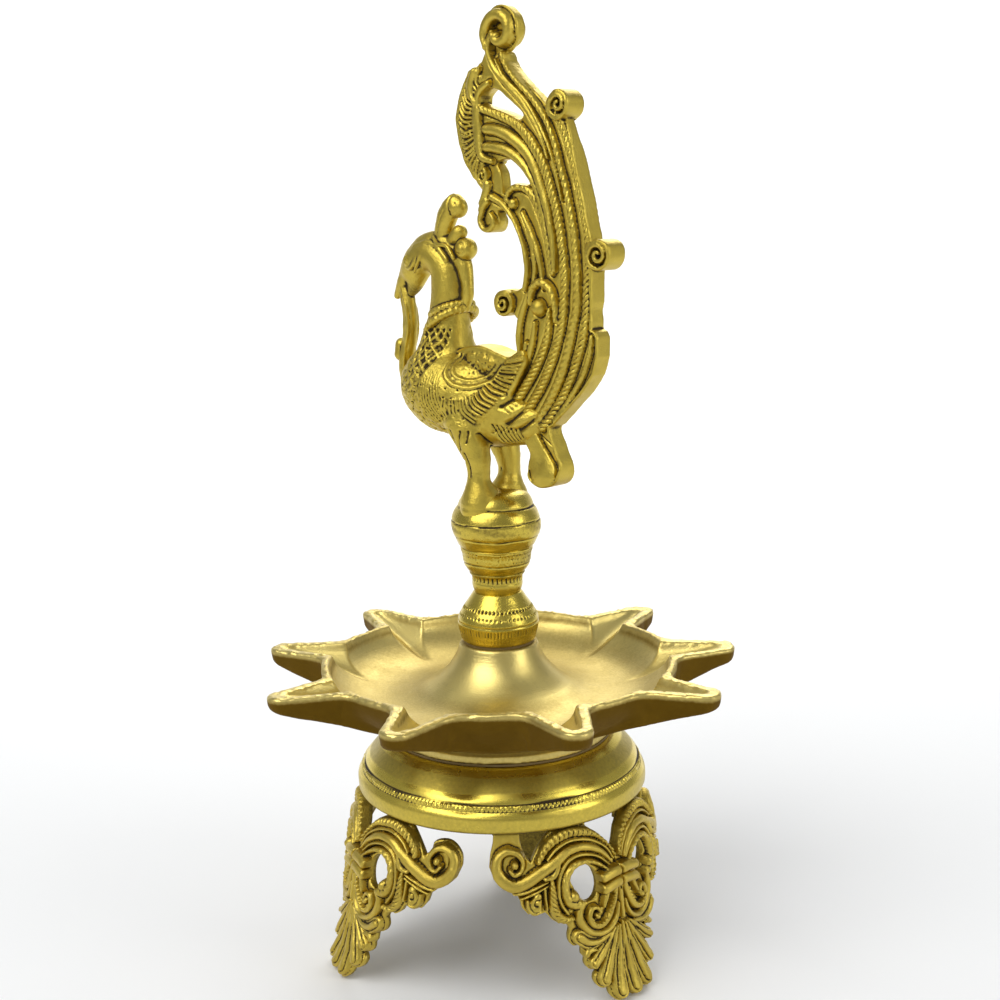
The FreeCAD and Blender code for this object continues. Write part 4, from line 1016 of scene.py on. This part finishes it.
    # lines on the crest's knobs
    clay.scratch([(-14.6, 275.2), (-15.8, 271.0), (-15.4, 267.4)], 0.40, 0.6, -1.0)
    clay.scratch([(-12.2, 256.4), (-10.8, 257.8), (-9.0, 257.2), (-8.4, 255.4), (-9.4, 253.8),
                  (-11.0, 254.2)], 0.32, 0.45, 1.0)
    clay.scratch([(-15.0, 268.4), (-13.4, 268.0), (-12.2, 269.4), (-12.8, 271.2)], 0.30, 0.35, 1.0)
    clay.scratch([(-21.6, 261.0), (-20.0, 265.4), (-17.4, 269.0)], 0.30, 0.35, 1.5)
    # pits left by the casting on the belly
    pits = rumple(clay.field.shape, 2.0, 1.0)
    pitted = 0.6 * ramp(pits, 0.8, 1.4) * ramp(v, 214, 206)
    clay.field = clay.field + pitted * ramp(v, 183, 188) * ramp(u, 2, -6)
    clay.field = clay.field + rumple(clay.field.shape, 10, 0.10) + rumple(clay.field.shape, 2.6, 0.03)
    points, quads = skin(clay.field, clay.low, step)
    points = soften(points, quads, 1)
    fine, broad = hollows(points, quads)
    patina_and_shade = np.clip(fine / 0.10, 0, 1) * 0.7 + np.clip((broad + 0.02) / 0.42, 0, 1) * 0.75
    # painted shadow darkens the hollow under the beak and the head
    throat_shadow = ramp(points[:, 1], 246, 241) * ramp(points[:, 0], -32, -35) * ramp(points[:, 0], -41.5, -38)
    patina_and_shade = patina_and_shade + 0.5 * throat_shadow * ramp(points[:, 1], 236, 239)
    piece("peacock_body_cast", on_lamp(points), quads, "stem", ["peacock_body"], cast_brass,
          patina_and_shade)


# ---------------------------------------------------------------- turned parts
def punched(r, z, angle, height, count, size, depth, shift=0.0, worn=None):
    """A row of dots pressed into a turned wall."""
    turn = angle * count / (2 * math.pi) + shift
    off = (turn - np.round(turn)) * 2 * math.pi * r / count
    mark = -depth * np.exp(-((off ** 2 + (z - height) ** 2) / size ** 2) ** 1.5)
    if worn is not None:
        mark = mark * worn[np.round(turn).astype(int) % len(worn)]
    return mark


def notched(r, z, angle, low, high, count, width, depth, slant=0.0):
    """A row of upright cuts between two heights."""
    turn = angle * count / (2 * math.pi) + slant * (z - low)
    off = (turn - np.round(turn)) * 2 * math.pi * r / count
    cut = -depth * np.exp(-(off / width) ** 2) * ramp(z, low - 0.15, low + 0.25)
    return cut * ramp(z, high + 0.15, high - 0.25)


def ringed(z, height, width, depth):
    """A groove cut round a turned wall."""
    return -depth * np.exp(-((z - height) / width) ** 2)


def wavering(angle, amount):
    """The small rise and fall of a line cut by hand."""
    return amount * (np.sin(angle * 2 + 0.7) + 0.5 * np.sin(angle * 5 + 2.0) + 0.3 * np.sin(angle * 9 + 1.0))


def turned_piece(name, profile, sides, bump, body, node, material, wear=0.22, extra=None):
    """A turned part in its place, dark where bump cuts in. extra adds to the patina at the points."""
    points, quads, out = lathe(profile, sides, bump)
    fine, broad = hollows(points, quads, 2, 12)
    patina_and_shade = np.clip((-out - 0.17) / wear, 0, 1) * 0.95 + np.clip(fine / 0.2, 0, 1) * 0.4
    patina_and_shade = patina_and_shade + np.clip(broad / 0.5, 0, 1) * 0.4
    if extra is not None:
        patina_and_shade = patina_and_shade + extra(points)
    piece(name, points, quads, body, [node], material, patina_and_shade)


# the heights where the stem's parts meet, from the bottom up, and the radius of the hole for the tie rod
STEM_Z, COLLAR_Z, VASE_Z, PLINTH_Z = 117.4, 135.1, 142.5, 151.6
BORE_R = 3.2


def make_foot():
    dots, cuts = 53, 74
    worn = rng.uniform(0.5, 1.0, dots)

    def bump(r, z, angle):
        zz = z + wavering(angle, 0.12)
        out = punched(r, zz, angle, 129.9, dots, 0.46, 0.85, 0.0, worn)
        out = out + punched(r, zz, angle, 127.4, dots, 0.36, 0.5, 0.5, worn)
        out = out + notched(r, zz, angle, 121.0, 123.4, cuts, 0.22, 0.30)
        out = out + notched(r, zz, angle, 118.8, 120.3, cuts, 0.2, 0.14)
        out = out + ringed(zz, 124.6, 0.28, 0.26) + ringed(zz, 120.7, 0.25, 0.14)
        return out * ramp(r, 7.4, 8.2)

    wall = [(13.3, 118.2), (14.2, 121.6), (14.5, 124.2), (14.1, 126.4), (12.6, 129.3), (10.6, 132.2),
            (9.2, 134.3), (8.6, COLLAR_Z)]
    inside = [(8.6, COLLAR_Z), (BORE_R, COLLAR_Z), (BORE_R, 123.4), (6.4, 123.4), (6.4, STEM_Z),
              (12.2, STEM_Z)]
    profile = outline((0.32, False, [(12.2, STEM_Z), (12.9, 117.5), (13.3, 118.2)]),
                      (0.32, True, wall),
                      (1.8, False, inside))
    turned_piece("stem_foot_turned", profile, 320, bump, "stem", "stem_foot", stem_brass,
                 extra=lambda p: 0.5 * ramp(p[:, 2], 118.2, 117.5))


def make_collar():
    def bump(r, z, angle):
        zz = z + wavering(angle, 0.12)
        out = notched(r, zz, angle, 139.4, 141.4, 34, 0.34, 0.50, 0.03) + ringed(zz, 139.0, 0.3, 0.16)
        return out * ramp(r, 7.0, 7.8)

    def shade(p):
        return 0.45 * ramp(p[:, 2], 141.3, 142.2) + 0.25 * ramp(p[:, 2], 135.8, 135.2)

    wall = [(8.2, COLLAR_Z), (8.5, 135.9), (8.9, 137.2), (9.05, 138.8), (9.0, 140.4), (9.35, 141.4),
            (9.9, 142.1), (9.8, VASE_Z)]
    profile = outline((0.3, False, [(BORE_R, COLLAR_Z), (8.2, COLLAR_Z)]),
                      (0.3, True, wall),
                      (1.6, False, [(9.8, VASE_Z), (BORE_R, VASE_Z), (BORE_R, COLLAR_Z)]))
    turned_piece("stem_collar_turned", profile, 260, bump, "stem", "stem_collar",
                 stem_brass, extra=shade)


def make_vase():
    dots = 63
    worn = rng.uniform(0.2, 1.0, dots)

    def bump(r, z, angle):
        zz = z + wavering(angle, 0.22)
        out = punched(r, zz, angle, 150.2, dots, 0.30, 0.42, 0.0, worn)
        out = out + punched(r, zz, angle, 148.7, dots, 0.28, 0.34, 0.5, worn)
        out = out + punched(r, zz, angle, 147.3, dots, 0.24, 0.28, 0.0, worn[::-1])
        out = out + ringed(zz, 146.1, 0.24, 0.30)
        return (out + ringed(zz, 151.0, 0.22, 0.24)) * ramp(r, 8.5, 9.5)

    def shade(p):
        bearing = np.arctan2(p[:, 0], -p[:, 1])
        band = 0.42 * ramp(np.abs(p[:, 2] - 148.6), 2.9, 2.1) * ramp(np.hypot(p[:, 0], p[:, 1]), 9, 10)
        return band * (0.55 + 0.45 * np.sin(2 * bearing - 0.9))

    wall = [(9.6, VASE_Z), (10.6, 143.6), (11.6, 145.2), (12.1, 147.0), (12.4, 149.4), (12.9, 150.8),
            (12.9, PLINTH_Z)]
    profile = outline((0.3, False, [(BORE_R, VASE_Z), (9.6, VASE_Z)]),
                      (0.3, True, wall),
                      (1.8, False, [(12.9, PLINTH_Z), (BORE_R, PLINTH_Z), (BORE_R, VASE_Z)]))
    turned_piece("stem_vase_turned", profile, 300, bump, "stem", "stem_vase", stem_brass,
                 extra=shade)


def make_plinth():
    """The plinth's narrow hole takes the top of the tie rod."""
    hole_r, hole_z = 3.0, 164.0

    def bump(r, z, angle):
        out = ringed(z + wavering(angle, 0.16), 155.6, 0.22, 0.34)
        out = out + ringed(z + wavering(angle + 1, 0.22), 161.4, 0.24, 0.40)
        uneven = 0.6 + 0.4 * np.cos(angle - 0.9)
        out = out + ringed(z + wavering(angle + 2, 0.1), 166.4, 0.30, 0.55) * uneven
        dents = 0.10 * np.sin(angle * 3 + 1.0 + 0.3 * z) + 0.06 * np.sin(angle * 7 + 0.5 * z)
        return (out + dents) * ramp(r, 9.0, 12.0)

    def shade(p):
        bearing, z = np.arctan2(p[:, 0], -p[:, 1]), p[:, 2]
        band = 0.24 * ramp(z, 157.0, 158.5) * ramp(z, 161.5, 160.5)
        return 0.27 * ramp(z, 156.0, 158.0) + band * (0.5 + 0.5 * np.sin(5 * bearing + z))

    wall = [(12.8, PLINTH_Z), (13.6, 152.6), (14.6, 154.8), (15.4, 156.6), (15.8, 158.6), (15.9, 160.6),
            (15.5, 162.6), (14.7, 164.6), (13.5, 166.4), (12.8, 168.2), (11.4, 170.2), (8.6, 171.8),
            (4.0, 172.4), (0.05, 172.5)]
    profile = outline((0.35, False, [(hole_r, PLINTH_Z), (12.8, PLINTH_Z)]),
                      (0.35, True, wall),
                      (1.8, False, [(0.05, 172.5), (0.05, hole_z), (hole_r, hole_z), (hole_r, PLINTH_Z)]))
    turned_piece("stem_plinth_turned", profile, 300, bump, "stem", "stem_plinth",
                 stem_brass, 0.18, extra=shade)


def make_dome():
    """The hollow base, with a band of two rows of beads above its rim."""
    beads = 211
    worn = rng.uniform(0.25, 1.0, beads)

    def bump(r, z, angle):
        outside = ramp(r, 46.9, 47.4) * ramp(z, 69.0, 70.5)
        band = ramp(np.abs(z - 72.75), 1.25, 0.95)
        out = -0.22 * band - punched(r, z, angle, 73.15, beads, 0.50, 0.5, 0.0, worn)
        out = out - punched(r, z, angle, 72.3, beads, 0.46, 0.46, 0.5, worn[::-1])
        out = out + ringed(z + wavering(angle, 0.06), 74.15, 0.22, 0.42) + ringed(z, 70.6, 0.25, 0.16)
        dents = 0.10 * np.sin(angle * 5 + 0.4) * np.sin(z * 0.5) + 0.06 * np.sin(angle * 11 + z * 0.35)
        return out * outside + dents * ramp(r, 40.0, 42.0) * ramp(z, 64.4, 66.0)

    def shade(p):
        r, z = np.hypot(p[:, 0], p[:, 1]), p[:, 2]
        dark = 0.55 * ramp(z, 65.0, 64.3) + 0.16 * ramp(np.abs(z - 73.0), 1.9, 1.2)
        dark = dark + 0.40 * ramp(z, 70.8, 70.0) * ramp(r, 50.0, 51.0)
        return dark + 0.5 * ramp(r, 48.2, 47.5) * ramp(z, 82.0, 80.8)

    rim = [(51.2, 64.3), (51.9, 64.9), (52.1, 66.6), (52.1, 69.4), (51.6, 70.7)]
    band = [(51.6, 70.7), (50.9, 71.4), (50.6, 72.4), (50.2, 73.6), (49.7, 74.3)]
    shoulder = [(49.7, 74.3), (48.2, 76.2), (45.9, 78.8), (43.6, 81.2), (42.1, 82.7), (41.2, 83.5)]
    top = [(41.2, 83.5), (40.6, 83.7), (4.0, 83.7), (4.0, 80.7), (39.8, 80.7)]
    under = [(39.8, 80.7), (41.8, 79.2), (44.6, 76.4), (46.8, 73.6), (47.6, 71.2)]
    profile = outline((0.8, False, [(47.8, 64.3), (51.2, 64.3)]), (0.8, True, rim), (0.34, True, band),
                      (0.8, True, shoulder), (4.0, False, top), (1.8, True, under),
                      (2.4, False, [(47.6, 71.2), (47.6, 65.0), (47.8, 64.3)]))
    turned_piece("base_dome_turned", profile, beads * 5, bump, "base", "base_dome",
                 dome_brass, 0.16, extra=shade)


# ---------------------------------------------------------------- oil bowl
# the spouts: their number, the bearing of the first in degrees, the radius of their tips, how round those
# are, and the angle between a spout's flank and its middle
SPOUTS = 9
FIRST_SPOUT = 16.7
SPOUT_TIP_R, SPOUT_ROUND = 81.3, 6.0
FLANK = math.atan(0.273)
RIM_Z = 110.3
# the foot's flat under face on its washer, and the cone's flat top under the stem's washer
SEAT_Z, CONE_Z = 84.5, 116.6
FOOT_RING_R, FOOT_RING_HALF = 38.25, 1.75
HUB_R = 9.5
# the hole for the tie rod above, and for the stud below
ROD_HOLE_R, STUD_HOLE_R, HOLES_MEET_Z = 3.05, 4.05, 101.0
# how wide the rim is round a channel
SPOUT_RIM = 3.9
# a height that stands for no channel
NO_CHANNEL = RIM_Z + 6.0
# the height of a channel's floor at a distance from the axis; it leaves the dish in a point
CHANNEL_FLOOR = np.array([(38.0, 101.0), (42.0, 99.7), (45.0, 98.95), (48.0, 98.6), (51.0, 98.85),
                          (54.0, 99.6), (58.0, 100.9), (62.0, 102.3), (68.0, 104.2), (75.0, 106.6),
                          (79.5, 108.4), (82.0, 109.8), (85.0, 112.0)])
# outlines of (radius, height): the dish, the hollow inside the foot, the wall and the spouts' keels
BOWL_INSIDE = [(13.9, 116.6), (14.6, 114.4), (16.4, 110.4), (19.2, 106.6), (24.4, 102.2), (31.0, 99.2),
               (39.0, 97.9), (46.0, 98.4), (51.5, 99.9), (56.2, 102.6), (59.4, 106.0), (61.0, 109.4),
               (61.4, 110.3)]
HOLLOW = [(16.4, 104.0), (19.5, 101.0), (27.0, 96.4), (35.5, 93.6), (37.6, 92.0), (38.4, 88.5), (40.0, 87.4)]
BOWL_UNDER = [(41.5, 88.4), (44.0, 91.2), (49.0, 94.0), (55.0, 97.0), (60.0, 100.8), (62.9, 104.4),
              (64.6, 107.4)]
KEEL = [(41.5, 88.4), (46.0, 92.0), (54.0, 95.2), (66.0, 98.4), (80.0, 102.8), (90.0, 105.8)]


def spouts_and_channels(x, y):
    """For points in plan: signed distance to the nine spouts, and the height of their channels."""
    spouts = np.full(x.shape, 40.0)
    channel = np.full(x.shape, NO_CHANNEL)
    for k in range(SPOUTS):
        bearing = math.radians(FIRST_SPOUT + k * 360.0 / SPOUTS)
        # every spout is a little different, as it was filed by hand
        tip = SPOUT_TIP_R + rng.uniform(-0.5, 0.4)
        lean, sink = rng.uniform(-0.012, 0.012), rng.uniform(-0.5, 0.4)
        along = x * math.sin(bearing) - y * math.cos(bearing)
        across = x * math.cos(bearing) + y * math.sin(bearing) + lean * (along - 60)
        a, b = along - tip, np.abs(across)
        straight = a * math.sin(FLANK) + b * math.cos(FLANK) - SPOUT_ROUND
        past_end = a * math.cos(FLANK) - b * math.sin(FLANK) > 0
        spout = np.where(past_end, np.hypot(a, b) - SPOUT_ROUND, straight)
        spout = np.where(along > 20, spout, 20.0)
        spouts = np.minimum(spouts, spout)
        floor = np.interp(along, CHANNEL_FLOOR[:, 0], CHANNEL_FLOOR[:, 1]) + sink
        vee = floor + (np.sqrt(b * b + 9.0) - 3.0) * 1.25
        inside = RIM_Z - np.maximum(-(spout + SPOUT_RIM), 0) * 2.6
        cut = smooth_max(vee, inside, 1.2)
        cut = np.where((spout < -2.2) & (along > 30), cut, NO_CHANNEL)
        channel = np.minimum(channel, cut)
    return spouts, channel


def make_bowl():
    step = 0.655
    side = np.arange(-88.6, 88.6 + step, step)
    levels = np.arange(82.6, 119.0, step)
    x, y = np.meshgrid(side, side, indexing="ij")
    r, bearing = np.hypot(x, y), np.arctan2(x, -y)
    spouts, channel = spouts_and_channels(x, y)

    fine = curve(BOWL_INSIDE, 0.4)
    dish = np.interp(r, fine[:, 0], fine[:, 1], left=CONE_Z, right=RIM_Z)
    top = np.where(r < 30, dish, smooth_min(dish, channel, 0.7))
    rise = 0.30 * np.sin(3 * bearing + 1.0) + 0.22 * np.sin(7 * bearing) + 0.16 * np.sin(13 * bearing + 2.0)
    top = top + rise * ramp(top, RIM_Z - 3, RIM_Z) * ramp(r, 55, 60)
    rough = rumple(top.shape, 2.2, 0.13) + rumple(top.shape, 1.4, 0.13)
    rough = rough * ramp(top, RIM_Z - 1.6, RIM_Z - 0.8) * ramp(r, 55, 60)
    sag = rumple(top.shape, 24.0, 0.12)
    under = np.interp(r, *curve(HOLLOW + BOWL_UNDER, 0.5).T, left=104.0, right=109.0)
    keel = np.interp(r, *curve(KEEL, 0.5).T) + 40.0 * ramp(r, 44.5, 42.0) + rumple(top.shape, 12.0, 0.15)
    under = under + rumple(top.shape, 12.0, 0.15) * ramp(r, 42, 46)

    z = levels[None, None, :]
    slopes = []
    for sheet in (top, under):
        steep = np.minimum(sum(g * g for g in np.gradient(sheet, step)), 6)
        slopes.append(np.sqrt(1 + steep)[..., None])
    upper = (z - (top + rough + sag * ramp(r, 24, 30))[..., None]) / slopes[0]
    lower = (under[..., None] - z) / slopes[1]
    draft = (RIM_Z - z) * 0.14 * ramp(z, 96.0, 101.0) + rumple(top.shape, 5.0, 0.10)[..., None]
    disc = smooth_max((r - 64.0)[..., None] + 0.5 * draft, lower, 1.6)
    keels = smooth_max(spouts[..., None] + draft, (keel[..., None] - z) / 1.04, 1.8)
    field = smooth_max(upper, smooth_min(disc, keels, 5.0), 1.6)
    foot = np.maximum(np.abs(r - FOOT_RING_R)[..., None] - FOOT_RING_HALF, np.maximum(SEAT_Z - z, z - 93.0))
    hub = np.maximum(r[..., None] - HUB_R, np.maximum(SEAT_Z - z, z - 108.0))
    field = smooth_min(np.minimum(field, hub), foot, 0.5)
    field = np.maximum(field, np.where(z > HOLES_MEET_Z, ROD_HOLE_R, STUD_HOLE_R) - r[..., None])
    field = np.maximum(field, SEAT_Z - z)
    points, quads = skin(field, (side[0], side[0], levels[0]), step)
    points = soften(points, quads, 1)
    # back on to the two flat faces that sit on the washers
    r = np.hypot(points[:, 0], points[:, 1])
    points[:, 2] = np.maximum(points[:, 2], SEAT_Z)
    points[:, 2] = np.where(r < 16, np.minimum(points[:, 2], CONE_Z), points[:, 2])
    normal = outward(points, quads)
    fine = hollows(points, quads, 2, 2)[0]
    outer = ramp(r, 38, 41)
    # painted shade: the flanks are darkened towards brown the less they face upwards, their undersides a
    # little more
    patina_and_shade = 0.92 * ramp(normal[:, 2], 0.6, 0.2) * outer * ramp(points[:, 2], 110.2, 107.6)
    patina_and_shade = patina_and_shade + 0.15 * ramp(normal[:, 2], -0.1, -0.6) * outer
    # the recesses, the rim, and the line where the stem's washer sits
    patina_and_shade = patina_and_shade + np.clip(fine / 0.10, 0, 1) * 0.10 * (r > 50)
    patina_and_shade = patina_and_shade + 0.30 * ramp(points[:, 2], RIM_Z - 1.8, RIM_Z - 0.4) * ramp(r, 57, 61)
    patina_and_shade = patina_and_shade + 0.6 * ramp(points[:, 2], 115.7, 116.5) * ramp(r, 15.5, 14.6)
    # the dish is duller than the polished cone in its middle
    patina_and_shade = patina_and_shade + 0.44 * ramp(normal[:, 2], 0.3, 0.6) * ramp(r, 19, 30) * ramp(r, 66, 54)
    # the painted shade and the patina are weaker on the foot and the wall above it than on the spouts'
    # undersides
    patina_and_shade = patina_and_shade * (1 - 0.45 * ramp(r, 52, 42) * ramp(points[:, 2], 97, 93))
    piece("oil_bowl_cast", points, quads, "bowl", ["oil_bowl"], bowl_brass, patina_and_shade)


# ---------------------------------------------------------------- small parts that keep the CAD's shape
def leather(name):
    """Oiled leather, dark brown, with a fine grain."""
    material = bpy.data.materials.new(name)
    material.use_nodes = True
    nodes, links = material.node_tree.nodes, material.node_tree.links
    shader = nodes["Principled BSDF"]
    place = nodes.new("ShaderNodeTexCoord")
    grain = nodes.new("ShaderNodeTexVoronoi")
    grain.inputs["Scale"].default_value = 1400.0
    cloud = nodes.new("ShaderNodeTexNoise")
    cloud.inputs["Scale"].default_value = 260.0
    cloud.inputs["Detail"].default_value = 3.0
    tone = nodes.new("ShaderNodeMix")
    tone.data_type = "RGBA"
    tone.inputs[6].default_value = (0.16, 0.105, 0.030, 1)
    tone.inputs[7].default_value = (0.28, 0.19, 0.055, 1)
    rough = nodes.new("ShaderNodeMapRange")
    rough.inputs["To Min"].default_value = 0.50
    rough.inputs["To Max"].default_value = 0.80
    bump = nodes.new("ShaderNodeBump")
    bump.inputs["Strength"].default_value = 0.5
    bump.inputs["Distance"].default_value = 0.0002
    links.new(place.outputs["Object"], grain.inputs["Vector"])
    links.new(place.outputs["Object"], cloud.inputs["Vector"])
    links.new(cloud.outputs["Fac"], tone.inputs[0])
    links.new(cloud.outputs["Fac"], rough.inputs["Value"])
    links.new(tone.outputs[2], shader.inputs["Base Color"])
    links.new(rough.outputs[0], shader.inputs["Roughness"])
    links.new(grain.outputs["Distance"], bump.inputs["Height"])
    links.new(bump.outputs[0], shader.inputs["Normal"])
    return material


def finish_fittings():
    """Gives the fasteners and the washers, which keep the CAD's shape, their materials."""
    screw = brass("screw_brass", (0.66, 0.50, 0.11), (0.50, 0.36, 0.07), 0.28, 0.35, 0.15)
    washer = leather("washer_leather")
    fasteners = ("leg_screws", "bowl_stud", "stud_washer", "stud_nut", "tie_rod", "rod_nut")
    for material, names in ((screw, fasteners), (washer, ("bowl_washer", "stem_washer"))):
        for name in names:
            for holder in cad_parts[name].material_slots:
                holder.material = material


# ---------------------------------------------------------------- the scene round the lamp
def make_stage():
    """A pale floor that curves up behind the lamp, and the soft light of the room. Lengths are in metres."""
    floor = bpy.data.meshes.new("floor")
    n, half = 24, 4.0
    bend_y, bend_run = 1.4, 2.6
    span = np.linspace(-half, half, n + 1)
    grid_x, grid_y = np.meshgrid(span, span, indexing="ij")
    lift = np.where(grid_y > bend_y, 0.9 * np.clip((grid_y - bend_y) / bend_run, 0, 1) ** 2 * bend_run, 0.0)
    points = np.stack([grid_x, grid_y, lift], -1).reshape(-1, 3)
    cell = (np.arange(n)[:, None] * (n + 1) + np.arange(n)[None, :]).ravel()
    quads = np.column_stack([cell, cell + n + 1, cell + n + 2, cell + 1])
    floor.from_pydata(points.tolist(), [], quads.tolist())
    floor.shade_smooth()
    pale = bpy.data.materials.new("pale_floor")
    pale.use_nodes = True
    shader = pale.node_tree.nodes["Principled BSDF"]
    shader.inputs["Base Color"].default_value = (0.90, 0.90, 0.89, 1)
    shader.inputs["Roughness"].default_value = 0.9
    floor.materials.append(pale)
    stage = bpy.data.objects.new("floor", floor)
    bpy.context.scene.collection.objects.link(stage)

    world = bpy.data.worlds.new("studio")
    world.use_nodes = True
    background = world.node_tree.nodes["Background"]
    background.inputs["Color"].default_value = (0.92, 0.95, 1.0, 1)
    background.inputs["Strength"].default_value = 0.36
    bpy.context.scene.world = world


def area_light(name, place, aim, width, height, power):
    """A soft light at a place in metres, turned to its aim."""
    light = bpy.data.lights.new(name, "AREA")
    light.shape = "RECTANGLE"
    light.size, light.size_y = width, height
    light.energy = power
    lamp = bpy.data.objects.new(name, light)
    lamp.location = place
    lamp.rotation_euler = (Vector(aim) - Vector(place)).to_track_quat("-Z", "Y").to_euler()
    bpy.context.scene.collection.objects.link(lamp)


# the photograph's view: where the camera stands in metres, and its tilts in degrees
CAMERA_PLACE = (0.00155, -0.53383, 0.27331)
CAMERA_DOWN, CAMERA_ROLL = 11.17, -1.28
LENS = 55.47


def make_camera():
    camera = bpy.data.cameras.new("camera")
    camera.sensor_width = 36.0
    camera.lens = LENS
    camera.clip_start = 0.01
    holder = bpy.data.objects.new("camera", camera)
    pitch = Matrix.Rotation(math.radians(90 - CAMERA_DOWN), 4, "X")
    roll = Matrix.Rotation(math.radians(CAMERA_ROLL), 4, "Z")
    holder.matrix_world = Matrix.Translation(CAMERA_PLACE) @ pitch @ roll
    bpy.context.scene.collection.objects.link(holder)
    bpy.context.scene.camera = holder


make_legs()
make_tail()
make_body()
make_foot()
make_collar()
make_vase()
make_plinth()
make_dome()
make_bowl()
finish_fittings()
make_stage()
area_light("key", (-0.9, -0.9, 1.5), (0, 0, 0.15), 1.5, 1.5, 22)
area_light("fill", (1.4, -0.7, 0.8), (0, 0, 0.15), 0.8, 1.2, 7)
area_light("back", (0.3, 1.3, 1.2), (0, 0, 0.2), 1.0, 0.8, 9)
area_light("backdrop", (0, 1.0, 2.3), (0, 3.7, 0.9), 4.0, 1.0, 75)
make_camera()
bpy.context.scene.view_settings.view_transform = "Standard"
